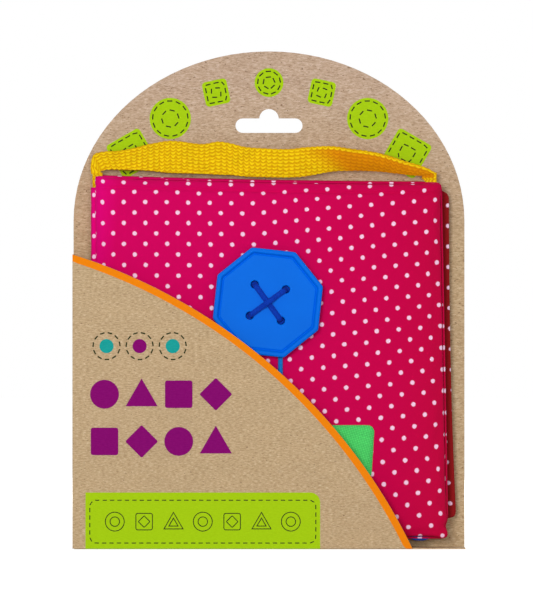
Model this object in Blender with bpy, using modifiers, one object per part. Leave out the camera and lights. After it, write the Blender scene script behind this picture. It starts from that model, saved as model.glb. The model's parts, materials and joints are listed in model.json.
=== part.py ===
"""Cloth busy board in a card pack: a padded two-leaf activity book that slides out of a folded sleeve.

Metres, +Z up. The pack stands on its bottom wall, its front faces -Y, the origin is the middle of its foot.
Depths are stacked from the back card forward, so a change to one layer moves every layer in front of it.
"""

import math

import bmesh
import bpy
from mathutils import Matrix, Vector

# General
SEAT = 0.0003  # gap between two pieces that touch
OVERRUN = 0.002  # how far a cutter runs past what it cuts
WELD = 0.00001  # points closer than this are one point
SOFT_SIDES = 8  # sides of a thin cord
SMOOTH_ANGLE = math.radians(40)
HALF_TURN = math.pi
FULL_TURN = 2 * math.pi
QUARTER_TURN = math.pi / 2

# Card pack
CARD = 0.0006  # thickness of the board that the pack is folded from
CARD_WIDTH = 0.200
CARD_HEIGHT = 0.254
ARCH_RISE = 0.0867  # height of the half ellipse at the top of the back card
ARCH_STEPS = 48
PANEL_SIDE_HEIGHT = 0.150  # front panel at the pack's left edge
PANEL_FOOT_WIDTH = 0.173  # front panel along the foot
PANEL_CURVE_RADIUS = 0.288
PANEL_CURVE_STEPS = 40
SLOT_LENGTH = 0.0343
SLOT_HEIGHT = 0.0074
SLOT_DROP = 0.0380  # middle of the slot below the top of the arch
SLOT_BUMP_RADIUS = 0.0050
SLOT_BUMP_RISE = 0.0035  # middle of the bump above the middle of the slot
SLOT_STEPS = 12
FLAP_DEPTH = 0.0150
FLAP_WIDTH = 0.1440
FLAP_LEFT_INSET = 0.0060
FLAP_CORNER = 0.0060
SCORE_CLEARANCE = 0.0003  # the side wall's fold line lies this far outside the pack

# Layers of the cloth board, from the back card forward
PACK_CLEARANCE = 0.0004
LEAF_THICKNESS = 0.0056
LINING = 0.0008
SKIN = 0.0008
INNER_GAP = 0.0064  # room for the activities between the closed leaves

# Leaves
BOARD_FOOT = 0.0050  # foot of the cover above the foot of the pack
COVER_LEFT_MARGIN = 0.0117  # cover's left edge from the card's left edge
COVER_WIDTH = 0.1760
COVER_HEIGHT = 0.1822
COVER_TOP_LEFT_RISE = 0.0033
COVER_FOOT_SPREAD = 0.0035  # how much further right the cover reaches at its foot than at its top
REAR_LEFT_SHOW = 0.0010  # how far the rear leaf shows past the cover
REAR_RIGHT_SHOW = 0.0030
REAR_FOOT_SPREAD = 0.0046
REAR_TOP_SHOW = 0.0005
REAR_TOP_DRAW = 0.0058  # how far the rear leaf's right corners are drawn in
REAR_FOOT_DRAW = 0.0106
CORNER_DRAW_REACH = 0.0120
EDGE_STEP = 0.0060  # longest straight stretch of a lining's outline
LINING_SHOW = 0.0012  # lining below the outer cloth
LEAF_CORNER = 0.0060
CORNER_STEPS = 4
CROWN_REACH = 0.0200  # the padding swells to its full thickness this far in from the seam
# The padding's rings from the seam inward, as shares of that reach and of the thickness
PAD_INSET_SHARES = (0.06, 0.0, 0.07, 0.25, 0.50, 1.0)
PAD_ALONG_SHARES = (0.06, 0.10, 0.16, 0.25, 0.50, 1.0)
PAD_RISE_SHARES = (0.0, 0.40, 0.68, 0.80, 0.93, 1.0)
CLOTH_FLAT_STEPS = 6
WADDING_FLAT_STEPS = 2
TOP_HEM_DIP = 0.0007  # the stitched line below the top edge is drawn in by this
TOP_HEM_STEPS = 3  # the stitching lies on this ring, counted from the seam

# Spine
SPINE_OFFSET = 0.0010  # fold line from the rear leaf's left edge
SPINE_CLOTH = 0.0008
SPINE_TOP_DROP = 0.0030  # top of the strip below the cover's top

# Handle
WEBBING = 0.0014
HANDLE_END_WIDTH = 0.0140
HANDLE_END_LENGTH = 0.0240
HANDLE_END_INSET = 0.0020  # right end of the handle from the cover's right edge
HANDLE_RISE = 0.0173  # height of the strap's highest point above its fold line
HANDLE_LEAN = 0.0050  # how far the upper edge leans back at most
HANDLE_STEPS = 44
HANDLE_ACROSS_STEPS = 2

# Button on the cover
BUTTON_X = -0.0006
BUTTON_Z = 0.1255
BUTTON_RADIUS = 0.0293  # to the corners of the octagon
BUTTON_SIDES = 8
BUTTON_TURN = math.radians(-6.3)
BUTTON_THICKNESS = 0.0034
BUTTON_RECESS = 0.0010
BUTTON_RIM = 0.0026
BUTTON_EDGE = 0.0005
HOLE_SPACING = 0.0161  # side of the square of four holes
HOLE_RADIUS = 0.0020
BUTTON_HOLES = 4
HOLE_TURN = math.radians(-9)
HOLE_STEPS = 16
BUTTON_LACE = 0.0024  # thickness of the laces through the button
LACE_CLEARANCE = 0.0004
SHANK_RADIUS = 0.0060
SHANK_STEPS = 20

# Cord loop and tab on the cover
LOOP_CORD = 0.0026
LOOP_LEAN = 0.0064  # how far right of the button's middle the cord runs down
LOOP_STEPS = 24
LOOP_LEG_STEPS = 5
LOOP_SWEEP = math.radians(285)  # how far round the button's laces the cord runs
LOOP_JOIN_TURN = math.radians(12)
TAB_WIDTH = 0.0700
TAB_HEIGHT = 0.0290
TAB_RIGHT = 0.0546
TAB_TOP = 0.0635
TAB_LEAN = 0.0016
TAB_THICKNESS = 0.0026
TAB_CROWN_REACH = 0.0060
TAB_CORNER = 0.0030
TAB_FLAT_STEPS = 3

# Places of the activities, as shares of the leaf that carries them
DIAL_PLACE_SHARES = (0.26, 0.73)
LACING_PLACE_SHARES = (0.73, 0.73)
BELT_PLACE_SHARES = (0.46, 0.41)
CLIP_PLACE_SHARES = (0.52, 0.17)

# Dial
DIAL_PLATE_RADIUS = 0.0270
DIAL_PLATE = 0.0014
DIAL_WHEEL_RADIUS = 0.0240
DIAL_WHEEL = 0.0026
DIAL_DIMPLE_RADIUS = 0.0038
DIAL_DIMPLE_DEPTH = 0.0012
DIAL_DIMPLE_CIRCLE = 0.0165
DIAL_DIMPLES = 8
DIAL_PIN_RADIUS = 0.0030
DIAL_PIN_HEAD_RADIUS = 0.0065
DIAL_PIN_HEAD = 0.0008
DIAL_STEPS = 48
DIMPLE_STEPS = 16
PIN_STEPS = 24
RUNNING_GAP = 0.0003

# Lacing panel
LACING_WIDTH = 0.0480
LACING_HEIGHT = 0.0600
LACING_CORNER = 0.0060
LACING_FACE = 0.0012
LACING_POCKET = 0.0017  # room behind the face for the lace
LACING_BORDER = 0.0060
EYELET_SPACING_X = 0.0200
EYELET_SPACING_Z = 0.0160
EYELET_ROWS = 3
EYELET_BORE = 0.0019
EYELET_BARREL = 0.0025
EYELET_FLANGE = 0.0042
EYELET_FLANGE_THICKNESS = 0.0005
EYELET_HOLE = 0.0028
EYELET_STEPS = 16
LACE = 0.0014
LACE_SIDES = 4
LACE_TAIL = 0.0120  # lower tail, straight down from its eyelet
LACE_LONG_TAIL = 0.0300  # upper tail, down beside the right column of eyelets
LACE_SWING = 0.0085
LACE_BEND = 0.0016
LACE_TIP_LENGTH = 0.0070
LACE_TIP_RADIUS = 0.0010

# Belt and buckle
BELT_LENGTH = 0.1500
BELT_WIDTH = 0.0200
BELT_HOLES = 5
BELT_HOLE_RADIUS = 0.0016
BELT_HOLE_SPACING = 0.0110
BELT_HOLE_STEPS = 12
BELT = 0.0014
BELT_TIP_INSET = 0.0120
BUCKLE_LENGTH = 0.0260
BUCKLE_HEIGHT = 0.0300
BUCKLE_BAR = 0.0022
BUCKLE_THICKNESS = 0.0018
BUCKLE_CORNER = 0.0040
BUCKLE_PLACE_SHARE = 0.36  # middle of the buckle along the belt
PRONG_RADIUS = 0.0008
PRONG_OVERHANG = 0.0006
PRONG_SWING_GAP = 0.00015  # between the swinging prong and the corners of its bar
TAB_STRAP_LENGTH = 0.0240
TAB_STRAP = 0.0014
PRONG_NOTCH_WIDTH = 0.0050
PRONG_NOTCH_DEPTH = 0.0050
KEEPER_LENGTH = 0.0060
KEEPER = 0.0012
KEEPER_GAP = 0.0024  # keeper from the buckle tab

# Side release clip
CLIP_LENGTH = 0.0300
CLIP_HEIGHT = 0.0280
CLIP_THICKNESS = 0.0054
CLIP_WALL = 0.0011
CLIP_CORNER = 0.0050
CLIP_CAVITY_DEPTH = 0.0240
CLIP_WINDOW_LENGTH = 0.0100
CLIP_WINDOW_INSET = 0.0070  # window from the mouth
PLUG_BASE_LENGTH = 0.0080
PLUG_ARM_LENGTH = 0.0215
PLUG_ARM_WIDTH = 0.0042
PLUG_TONGUE_WIDTH = 0.0040
CLIP_STRAP_WIDTH = 0.0200
CLIP_STRAP = 0.0014
CLIP_STRAP_LENGTH = 0.0300
PATCH_LENGTH = 0.0160
PATCH_HEIGHT = 0.0300
PATCH = 0.0012

# Worked out: depths, from the back card forward (front is towards -Y)
COVER_TO_BUTTON = 2 * SEAT + LOOP_CORD
LACE_STACK = 2 * (SEAT + BUTTON_LACE)
BUTTON_WEB = BUTTON_THICKNESS - BUTTON_RECESS
BOARD_DEPTH = 2 * LEAF_THICKNESS + INNER_GAP
BUTTON_DEPTH = COVER_TO_BUTTON + BUTTON_WEB + LACE_STACK
PACK_DEPTH = CARD + PACK_CLEARANCE + BOARD_DEPTH + BUTTON_DEPTH + LACE_CLEARANCE
FRONT_Y = -PACK_DEPTH / 2
BACK_Y = PACK_DEPTH / 2
BACK_CARD_FRONT_Y = BACK_Y - CARD
REAR_CROWN_Y = BACK_CARD_FRONT_Y - PACK_CLEARANCE
REAR_FACE_Y = REAR_CROWN_Y - LEAF_THICKNESS
COVER_FACE_Y = REAR_FACE_Y - INNER_GAP
COVER_CROWN_Y = COVER_FACE_Y - LEAF_THICKNESS
BUTTON_BACK_Y = COVER_CROWN_Y - COVER_TO_BUTTON
BUTTON_WEB_Y = BUTTON_BACK_Y - BUTTON_WEB
REAR_SEAT_Y = REAR_FACE_Y - SEAT
COVER_SEAT_Y = COVER_FACE_Y + SEAT

# Worked out: plan
CARD_LEFT = -CARD_WIDTH / 2
CARD_RIGHT = CARD_WIDTH / 2
ARCH_FOOT = CARD_HEIGHT - ARCH_RISE
SLOT_CENTRE_Z = CARD_HEIGHT - SLOT_DROP
COVER_LEFT = CARD_LEFT + COVER_LEFT_MARGIN
REAR_LEFT = COVER_LEFT - REAR_LEFT_SHOW
SPINE_X = REAR_LEFT - SPINE_OFFSET
COVER_FOLD_Y = COVER_FACE_Y - LINING / 2
REAR_FOLD_Y = REAR_FACE_Y + LINING / 2
COVER_TOP = BOARD_FOOT + COVER_HEIGHT


class Leaf:
    """Outline of one leaf: the right edge leans, the top rises leftward, the right corners are drawn in."""

    def __init__(self, left, right_foot, right_top, foot, top_left, top_right, top_draw=0.0, foot_draw=0.0):
        self.left = left
        self.right_foot = right_foot
        self.right_top = right_top
        self.foot = foot
        self.top_left = top_left
        self.top_right = top_right
        self.top_draw = top_draw
        self.foot_draw = foot_draw

    def grown(self, left, right, foot, top):
        return Leaf(
            self.left - left,
            self.right_foot + right,
            self.right_top + right,
            self.foot - foot,
            self.top_left + top,
            self.top_right + top,
            self.top_draw,
            self.foot_draw,
        )

    def width(self):
        return self.right_top - self.left

    def height(self):
        return self.top_right - self.foot

    def warp(self, x, z):
        """Takes a point of the plain rectangle, from its lower left corner, into the leaf's own outline."""
        across = x / self.width()
        up = z / self.height()
        right = self.right_foot + up * (self.right_top - self.right_foot)
        near = max(1 - (1 - across) * self.width() / CORNER_DRAW_REACH, 0) ** 2
        top = self.top_right + (1 - across) ** 2 * (self.top_left - self.top_right) - near * self.top_draw
        foot = self.foot + near * self.foot_draw
        return self.left + across * (right - self.left), foot + up * (top - foot)

    def place(self, shares):
        return self.warp(shares[0] * self.width(), shares[1] * self.height())


COVER_LEAF = Leaf(
    COVER_LEFT,
    COVER_LEFT + COVER_WIDTH + COVER_FOOT_SPREAD,
    COVER_LEFT + COVER_WIDTH,
    BOARD_FOOT,
    COVER_TOP + COVER_TOP_LEFT_RISE,
    COVER_TOP,
)
REAR_LEAF = Leaf(
    REAR_LEFT,
    COVER_LEFT + COVER_WIDTH + REAR_RIGHT_SHOW + REAR_FOOT_SPREAD,
    COVER_LEFT + COVER_WIDTH + REAR_RIGHT_SHOW,
    BOARD_FOOT,
    COVER_TOP + COVER_TOP_LEFT_RISE + REAR_TOP_SHOW,
    COVER_TOP + REAR_TOP_SHOW,
    REAR_TOP_DRAW,
    REAR_FOOT_DRAW,
)

# Fold line of the handle, on the inside of the rear leaf's top edge
HANDLE_AXIS_Y = REAR_SEAT_Y - WEBBING / 2
HANDLE_AXIS_Z = REAR_LEAF.top_left

HANDLE_LEFT = SPINE_X
HANDLE_RIGHT = COVER_LEAF.right_top - HANDLE_END_INSET

# The strap's two edges along its run, as shares of its width and rise: step, upper edge, lower edge, lean
HANDLE_RUN_SHARES = (
    (0.00, 0.000, 0.00, 0.078, 0.00, 0.0),
    (0.04, -0.002, 0.25, 0.060, 0.04, 0.1),
    (0.08, 0.006, 0.55, 0.056, 0.09, 0.5),
    (0.12, 0.035, 0.62, 0.064, 0.13, 0.9),
    (0.16, 0.075, 0.64, 0.088, 0.14, 1.0),
    (0.23, 0.157, 0.85, 0.157, 0.13, 1.0),
    (0.30, 0.235, 1.00, 0.235, 0.08, 1.0),
    (0.39, 0.340, 0.90, 0.340, 0.02, 0.9),
    (0.49, 0.460, 0.74, 0.460, 0.00, 0.8),
    (0.58, 0.560, 0.70, 0.560, 0.00, 0.8),
    (0.68, 0.680, 0.75, 0.680, 0.08, 0.7),
    (0.75, 0.760, 0.73, 0.760, 0.15, 0.6),
    (0.82, 0.840, 0.58, 0.838, 0.17, 0.5),
    (0.90, 0.920, 0.30, 0.908, 0.07, 0.3),
    (0.95, 0.972, 0.13, 0.928, 0.02, 0.1),
    (1.00, 1.000, 0.00, 0.922, 0.00, 0.0),
)

collection = None
cutters = None


def clear_scene():
    for thing in list(bpy.data.objects):
        bpy.data.objects.remove(thing, do_unlink=True)


def make_collections():
    global collection, cutters
    collection = bpy.data.collections.new("busy_board")
    cutters = bpy.data.collections.new("cutters")
    bpy.context.scene.collection.children.link(collection)
    bpy.context.scene.collection.children.link(cutters)


def material(name, colour, roughness, metallic=0.0):
    made = bpy.data.materials.new(name)
    made.use_nodes = True
    shader = made.node_tree.nodes["Principled BSDF"]
    shader.inputs["Base Color"].default_value = (*colour, 1.0)
    shader.inputs["Roughness"].default_value = roughness
    shader.inputs["Metallic"].default_value = metallic
    return made


def piece(name, mesh, surface, smooth=False):
    """One sub-part from a finished mesh."""
    made = bpy.data.objects.new(name, mesh)
    collection.objects.link(made)
    mesh.materials.clear()
    mesh.materials.append(surface)
    if smooth:
        mesh.shade_smooth()
        mesh.set_sharp_from_angle(angle=SMOOTH_ANGLE)
    return made


def mesh_from(thing):
    """The mesh of a curve, with its caps welded on, in world space. The curve is removed."""
    bpy.context.view_layer.update()
    seen = thing.evaluated_get(bpy.context.evaluated_depsgraph_get())
    mesh = bpy.data.meshes.new_from_object(seen)
    mesh.transform(thing.matrix_world)
    work = bmesh.new()
    work.from_mesh(mesh)
    bmesh.ops.remove_doubles(work, verts=work.verts, dist=WELD)
    work.to_mesh(mesh)
    work.free()
    bpy.data.objects.remove(thing, do_unlink=True)
    return mesh


def flat_mesh(outlines, thickness, front_y):
    """A flat plate that faces -Y. The first outline of (x, z) points is its edge, the others are holes."""
    curve = bpy.data.curves.new("outline", "CURVE")
    curve.dimensions = "2D"
    curve.fill_mode = "BOTH"
    curve.extrude = thickness / 2
    for outline in outlines:
        spline = curve.splines.new("POLY")
        spline.points.add(len(outline) - 1)
        for point, (x, z) in zip(spline.points, outline):
            point.co = (x, z, 0, 1)
        spline.use_cyclic_u = True
    thing = bpy.data.objects.new("outline", curve)
    bpy.context.scene.collection.objects.link(thing)
    thing.rotation_euler = (QUARTER_TURN, 0, 0)
    thing.location = (0, front_y + thickness / 2, 0)
    return mesh_from(thing)


def tube_mesh(points, diameter, sides=SOFT_SIDES):
    """A cord along the given points, with closed ends."""
    curve = bpy.data.curves.new("cord", "CURVE")
    curve.dimensions = "3D"
    curve.bevel_depth = diameter / 2
    curve.bevel_resolution = sides // 4
    curve.use_fill_caps = True
    spline = curve.splines.new("POLY")
    spline.points.add(len(points) - 1)
    for point, place in zip(spline.points, points):
        point.co = (*place, 1)
    thing = bpy.data.objects.new("cord", curve)
    bpy.context.scene.collection.objects.link(thing)
    return mesh_from(thing)


def cutter_object(name, mesh):
    made = bpy.data.objects.new(name, mesh)
    cutters.objects.link(made)
    made.hide_render = True
    made.display_type = "WIRE"
    return made


def combine(target, tool_mesh, operation, name):
    modifier = target.modifiers.new(name, "BOOLEAN")
    modifier.operation = operation
    modifier.solver = "EXACT"
    modifier.object = cutter_object(target.name + "_" + name, tool_mesh)


def box_mesh(low, high):
    mesh = bpy.data.meshes.new("box")
    work = bmesh.new()
    bmesh.ops.create_cube(work, size=1.0)
    size = Vector(high) - Vector(low)
    middle = (Vector(high) + Vector(low)) / 2
    place = Matrix.Translation(middle) @ Matrix.Diagonal((*size, 1))
    bmesh.ops.transform(work, matrix=place, verts=work.verts)
    work.to_mesh(mesh)
    work.free()
    return mesh


def drum_mesh(x, z, low_y, high_y, radius, steps, turn=0.0):
    """A cylinder along Y, or with few steps a prism, whose first corner points up before the turn."""
    mesh = bpy.data.meshes.new("drum")
    work = bmesh.new()
    bmesh.ops.create_cone(
        work, cap_ends=True, segments=steps, radius1=radius, radius2=radius, depth=high_y - low_y
    )
    place = Matrix.Translation((x, (low_y + high_y) / 2, z)) @ Matrix.Rotation(QUARTER_TURN, 4, "X")
    bmesh.ops.transform(work, matrix=place @ Matrix.Rotation(turn, 4, "Z"), verts=work.verts)
    work.to_mesh(mesh)
    work.free()
    return mesh


def ring_points(x, z, radius, steps, turn=0.0):
    points = []
    for step in range(steps):
        angle = turn + FULL_TURN * step / steps
        points.append((x + radius * math.cos(angle), z + radius * math.sin(angle)))
    return points


def rounded_rectangle(left, foot, right, top, corner, steps=CORNER_STEPS):
    points = []
    middles = ((right - corner, foot + corner), (right - corner, top - corner),
               (left + corner, top - corner), (left + corner, foot + corner))
    for quarter, (x, z) in enumerate(middles):
        for step in range(steps + 1):
            angle = (quarter - 1 + step / steps) * QUARTER_TURN
            points.append((x + corner * math.cos(angle), z + corner * math.sin(angle)))
    return points


def centred_rectangle(x, z, width, height, corner):
    return rounded_rectangle(x - width / 2, z - height / 2, x + width / 2, z + height / 2, corner)


def turned(name, profile, middle, steps, surface):
    """A turned piece about an axis along Y. The profile is (radius, depth) points, from front to back."""
    mesh = bpy.data.meshes.new(name)
    work = bmesh.new()
    corners = [work.verts.new((radius, 0, -depth)) for radius, depth in profile]
    for first, second in zip(corners, corners[1:] + corners[:1]):
        if (first.co - second.co).length > 0 and max(first.co.x, second.co.x) > 0:
            work.edges.new((first, second))
    work.to_mesh(mesh)
    work.free()
    made = piece(name, mesh, surface)
    screw = made.modifiers.new("turn", "SCREW")
    screw.axis = "Z"
    screw.steps = steps
    screw.render_steps = steps
    screw.use_merge_vertices = True
    screw.merge_threshold = WELD
    made.rotation_euler = (QUARTER_TURN, 0, 0)
    made.location = middle
    return made


def hinge_line(name, place):
    """An empty on a joint's axis, which carries the pieces that move about it."""
    made = bpy.data.objects.new(name, None)
    made.location = place
    collection.objects.link(made)
    return made


def carry(axis, things):
    for thing in things:
        thing.parent = axis
        thing.matrix_parent_inverse = Matrix.Translation(axis.location).inverted()


# Card pack


def panel_curve():
    """The front panel's curved edge, from the pack's left side down to its foot."""
    start = Vector((CARD_LEFT, PANEL_SIDE_HEIGHT))
    end = Vector((CARD_LEFT + PANEL_FOOT_WIDTH, SEAT))
    chord = end - start
    inward = Vector((chord.y, -chord.x)).normalized()
    height = math.sqrt(PANEL_CURVE_RADIUS**2 - (chord.length / 2) ** 2)
    middle = (start + end) / 2 + inward * height
    first = math.atan2(start.y - middle.y, start.x - middle.x)
    last = math.atan2(end.y - middle.y, end.x - middle.x)
    points = []
    for step in range(PANEL_CURVE_STEPS + 1):
        angle = first + (last - first) * step / PANEL_CURVE_STEPS
        x = middle.x + PANEL_CURVE_RADIUS * math.cos(angle)
        points.append((x, middle.y + PANEL_CURVE_RADIUS * math.sin(angle)))
    return points


def back_card(surface):
    outline = [(CARD_LEFT, 0), (CARD_RIGHT, 0)]
    for step in range(ARCH_STEPS + 1):
        angle = HALF_TURN * step / ARCH_STEPS
        outline.append((CARD_WIDTH / 2 * math.cos(angle), ARCH_FOOT + ARCH_RISE * math.sin(angle)))
    return piece("back_card", flat_mesh([outline, hang_slot()], CARD, BACK_CARD_FRONT_Y), surface)


def hang_slot():
    """The euro slot: a bar with round ends and a round bump on its upper edge."""
    end = SLOT_HEIGHT / 2
    reach = SLOT_LENGTH / 2 - end
    bump_z = SLOT_CENTRE_Z + SLOT_BUMP_RISE
    drop = SLOT_CENTRE_Z + end - bump_z
    side_angle = math.asin(drop / SLOT_BUMP_RADIUS)
    points = []
    for step in range(SLOT_STEPS + 1):
        angle = HALF_TURN / 2 + HALF_TURN * step / SLOT_STEPS
        points.append((-reach + end * math.cos(angle), SLOT_CENTRE_Z + end * math.sin(angle)))
    for step in range(SLOT_STEPS + 1):
        angle = -HALF_TURN / 2 + HALF_TURN * step / SLOT_STEPS
        points.append((reach + end * math.cos(angle), SLOT_CENTRE_Z + end * math.sin(angle)))
    for step in range(SLOT_STEPS + 1):
        angle = side_angle + (HALF_TURN - 2 * side_angle) * step / SLOT_STEPS
        points.append((SLOT_BUMP_RADIUS * math.cos(angle), bump_z + SLOT_BUMP_RADIUS * math.sin(angle)))
    return points


def bottom_wall(surface):
    low = (CARD_LEFT + CARD + SEAT, FRONT_Y + CARD + SEAT, 0)
    high = (CARD_RIGHT, BACK_CARD_FRONT_Y - SEAT, CARD)
    return piece("bottom_wall", box_mesh(low, high), surface)


def foot_flap(surface):
    """The front panel's flap, turned in over the bottom wall."""
    left = CARD_LEFT + FLAP_LEFT_INSET
    mesh = flat_mesh([rounded_rectangle(left, 0, left + FLAP_WIDTH, FLAP_DEPTH, FLAP_CORNER)], CARD, 0)
    laid_flat = Matrix.Rotation(-QUARTER_TURN, 4, "X")
    mesh.transform(Matrix.Translation((0, FRONT_Y + CARD + SEAT, 2 * CARD + SEAT)) @ laid_flat)
    return piece("foot_flap", mesh, surface)


def front_panel(surface):
    outline = panel_curve() + [(CARD_LEFT, SEAT)]
    return piece("front_panel", flat_mesh([outline], CARD, FRONT_Y), surface)


def side_wall(surface):
    low = (CARD_LEFT, FRONT_Y + CARD + SEAT, SEAT)
    high = (CARD_LEFT + CARD, BACK_CARD_FRONT_Y - SEAT, PANEL_SIDE_HEIGHT)
    return piece("side_wall", box_mesh(low, high), surface)


# Padded leaves


def along_edge(index, last, length, reach, cells):
    """Distance of one grid line of the padding along its side."""
    rings = len(PAD_ALONG_SHARES) - 1
    if index <= rings:
        return PAD_ALONG_SHARES[index] * reach
    if index >= last - rings:
        return length - PAD_ALONG_SHARES[last - index] * reach
    return reach + (length - 2 * reach) * (index - rings) / cells


def round_corner(x, z, width, height, corner):
    """Draws a point near a corner of the rectangle in onto an arc."""
    over_x = abs(x - width / 2) - (width / 2 - corner)
    over_z = abs(z - height / 2) - (height / 2 - corner)
    if over_x <= 0 or over_z <= 0:
        return x, z
    pull = max(over_x, over_z) / math.hypot(over_x, over_z)
    side_x = math.copysign(width / 2 - corner + over_x * pull, x - width / 2)
    side_z = math.copysign(height / 2 - corner + over_z * pull, z - height / 2)
    return width / 2 + side_x, height / 2 + side_z


def padded_sheet(leaf, base_y, depth, inset, reach, cells, corner, hem_dip=0.0):
    """An open sheet that swells by depth from its seam at base_y, to the front if depth is negative."""
    width = leaf.width() - 2 * inset
    height = leaf.height() - 2 * inset
    rings = len(PAD_ALONG_SHARES) - 1
    last = 2 * rings + cells
    work = bmesh.new()
    bmesh.ops.create_grid(work, x_segments=last, y_segments=last, size=1.0)
    for point in work.verts:
        column = round((point.co.x + 1) / 2 * last)
        row = round((point.co.y + 1) / 2 * last)
        ring = min(column, last - column, row, last - row, rings)
        x = along_edge(column, last, width, reach, cells)
        z = along_edge(row, last, height, reach, cells)
        if depth:
            drawn_in = PAD_INSET_SHARES[ring] * reach
            x = {column: drawn_in, last - column: width - drawn_in}.get(ring, x)
            z = {row: drawn_in, last - row: height - drawn_in}.get(ring, z)
        swell = PAD_RISE_SHARES[ring] * depth
        if last - row == ring == TOP_HEM_STEPS:
            swell -= math.copysign(hem_dip, depth)
        x, z = round_corner(x, z, width, height, corner)
        x, z = leaf.warp(x + inset, z + inset)
        point.co = (x, base_y + swell, z)
    return work


def padded_solid(name, leaf, base_y, depth, inset, reach, cells, corner, surface):
    """A closed pad: a swelling front and a flat back that share their seam."""
    work = padded_sheet(leaf, base_y, depth, inset, reach, cells, corner)
    back = padded_sheet(leaf, base_y, 0, inset, reach, cells, corner)
    flat = bpy.data.meshes.new("flat_back")
    back.to_mesh(flat)
    back.free()
    work.from_mesh(flat)
    bpy.data.meshes.remove(flat)
    bmesh.ops.remove_doubles(work, verts=work.verts, dist=WELD)
    bmesh.ops.recalc_face_normals(work, faces=work.faces)
    mesh = bpy.data.meshes.new(name)
    work.to_mesh(mesh)
    work.free()
    return piece(name, mesh, surface, smooth=True)


def outer_cloth(name, leaf, face_y, towards, surface):
    """The dotted cloth over one leaf: an open dome, thickened inward."""
    base_y = face_y + towards * (LINING + SEAT)
    depth = towards * (LEAF_THICKNESS - LINING - SEAT)
    work = padded_sheet(leaf, base_y, depth, 0, CROWN_REACH, CLOTH_FLAT_STEPS, LEAF_CORNER, TOP_HEM_DIP)
    mesh = bpy.data.meshes.new(name)
    work.to_mesh(mesh)
    work.free()
    if towards > 0:
        mesh.flip_normals()
    made = piece(name, mesh, surface, smooth=True)
    shell = made.modifiers.new("cloth", "SOLIDIFY")
    shell.thickness = SKIN
    shell.offset = -1
    shell.use_even_offset = False
    return made


def wadding(name, leaf, face_y, towards, surface):
    """The closed padding inside one leaf, clear of the cloth all round."""
    inset = 2 * (SKIN + SEAT)
    base_y = face_y + towards * (LINING + SEAT)
    depth = towards * (LEAF_THICKNESS - LINING - 2 * SEAT - SKIN - TOP_HEM_DIP)
    return padded_solid(
        name, leaf, base_y, depth, inset, CROWN_REACH, WADDING_FLAT_STEPS, LEAF_CORNER - inset / 2, surface
    )


def divided(outline):
    """The same outline with its long sides cut into steps, so that they can bend."""
    points = []
    for start, end in zip(outline, outline[1:] + outline[:1]):
        steps = max(math.ceil(math.dist(start, end) / EDGE_STEP), 1)
        for step in range(steps):
            part = step / steps
            x = start[0] + part * (end[0] - start[0])
            points.append((x, start[1] + part * (end[1] - start[1])))
    return points


def lining(name, leaf, face_y, towards, surface):
    """The flat blue sheet that closes one leaf. It reaches the fold line at the spine."""
    wide = leaf.grown(leaf.left - SPINE_X - SEAT, 0, LINING_SHOW, 0)
    outline = []
    for x, z in divided(rounded_rectangle(0, 0, wide.width(), wide.height(), LINING_SHOW)):
        outline.append(wide.warp(x, z))
    front_y = face_y if towards > 0 else face_y - LINING
    return piece(name, flat_mesh([outline], LINING, front_y), surface)


def spine_strip(surface):
    """The cloth strip between the fold lines of the two leaves."""
    clear = LINING / 2 + SEAT
    low = (SPINE_X - SPINE_CLOTH / 2, COVER_FOLD_Y + clear, BOARD_FOOT)
    high = (SPINE_X + SPINE_CLOTH / 2, REAR_FOLD_Y - clear, COVER_TOP - SPINE_TOP_DROP)
    return piece("spine_strip", box_mesh(low, high), surface)


# Handle


def smooth_run(rows, steps):
    """Points read from a smooth curve through the rows, whose first column is the share along the run."""
    run = []
    for step in range(steps + 1):
        along = step / steps
        index = max(i for i in range(len(rows) - 1) if rows[i][0] <= along)
        before = rows[max(index - 1, 0)]
        start = rows[index]
        end = rows[index + 1]
        after = rows[min(index + 2, len(rows) - 1)]
        part = (along - start[0]) / (end[0] - start[0])
        values = [along]
        for column in range(1, len(start)):
            slope_in = (end[column] - before[column]) / (end[0] - before[0]) * (end[0] - start[0])
            slope_out = (after[column] - start[column]) / (after[0] - start[0]) * (end[0] - start[0])
            values.append(hermite(part, start[column], end[column], slope_in, slope_out))
        run.append(values)
    return run


def hermite(part, start, end, slope_in, slope_out):
    square = part * part
    cube = square * part
    keep = 2 * cube - 3 * square + 1
    slopes = (cube - 2 * square + part) * slope_in + (cube - square) * slope_out
    return keep * start + (1 - keep) * end + slopes


def handle_strap(surface):
    """The webbing strap: its upper edge leans back and its ends curl down to the fold line."""
    run = smooth_run(HANDLE_RUN_SHARES, HANDLE_STEPS)
    work = bmesh.new()
    bmesh.ops.create_grid(work, x_segments=HANDLE_STEPS, y_segments=HANDLE_ACROSS_STEPS, size=1.0)
    width = HANDLE_RIGHT - HANDLE_LEFT
    for corner_point in work.verts:
        step = round((corner_point.co.x + 1) / 2 * HANDLE_STEPS)
        _, upper_x, upper_z, lower_x, lower_z, lean = run[step]
        across = (corner_point.co.y + 1) / 2
        x = HANDLE_LEFT + (lower_x + across * (upper_x - lower_x)) * width
        z = HANDLE_AXIS_Z + SEAT / 2 + max(lower_z + across * (upper_z - lower_z), 0) * HANDLE_RISE
        corner_point.co = (x, HANDLE_AXIS_Y + lean * across * HANDLE_LEAN, z)
    mesh = bpy.data.meshes.new("handle_strap")
    work.to_mesh(mesh)
    work.free()
    made = piece("handle_strap", mesh, surface, smooth=True)
    shell = made.modifiers.new("webbing", "SOLIDIFY")
    shell.thickness = WEBBING
    shell.offset = 0
    return made


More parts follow.
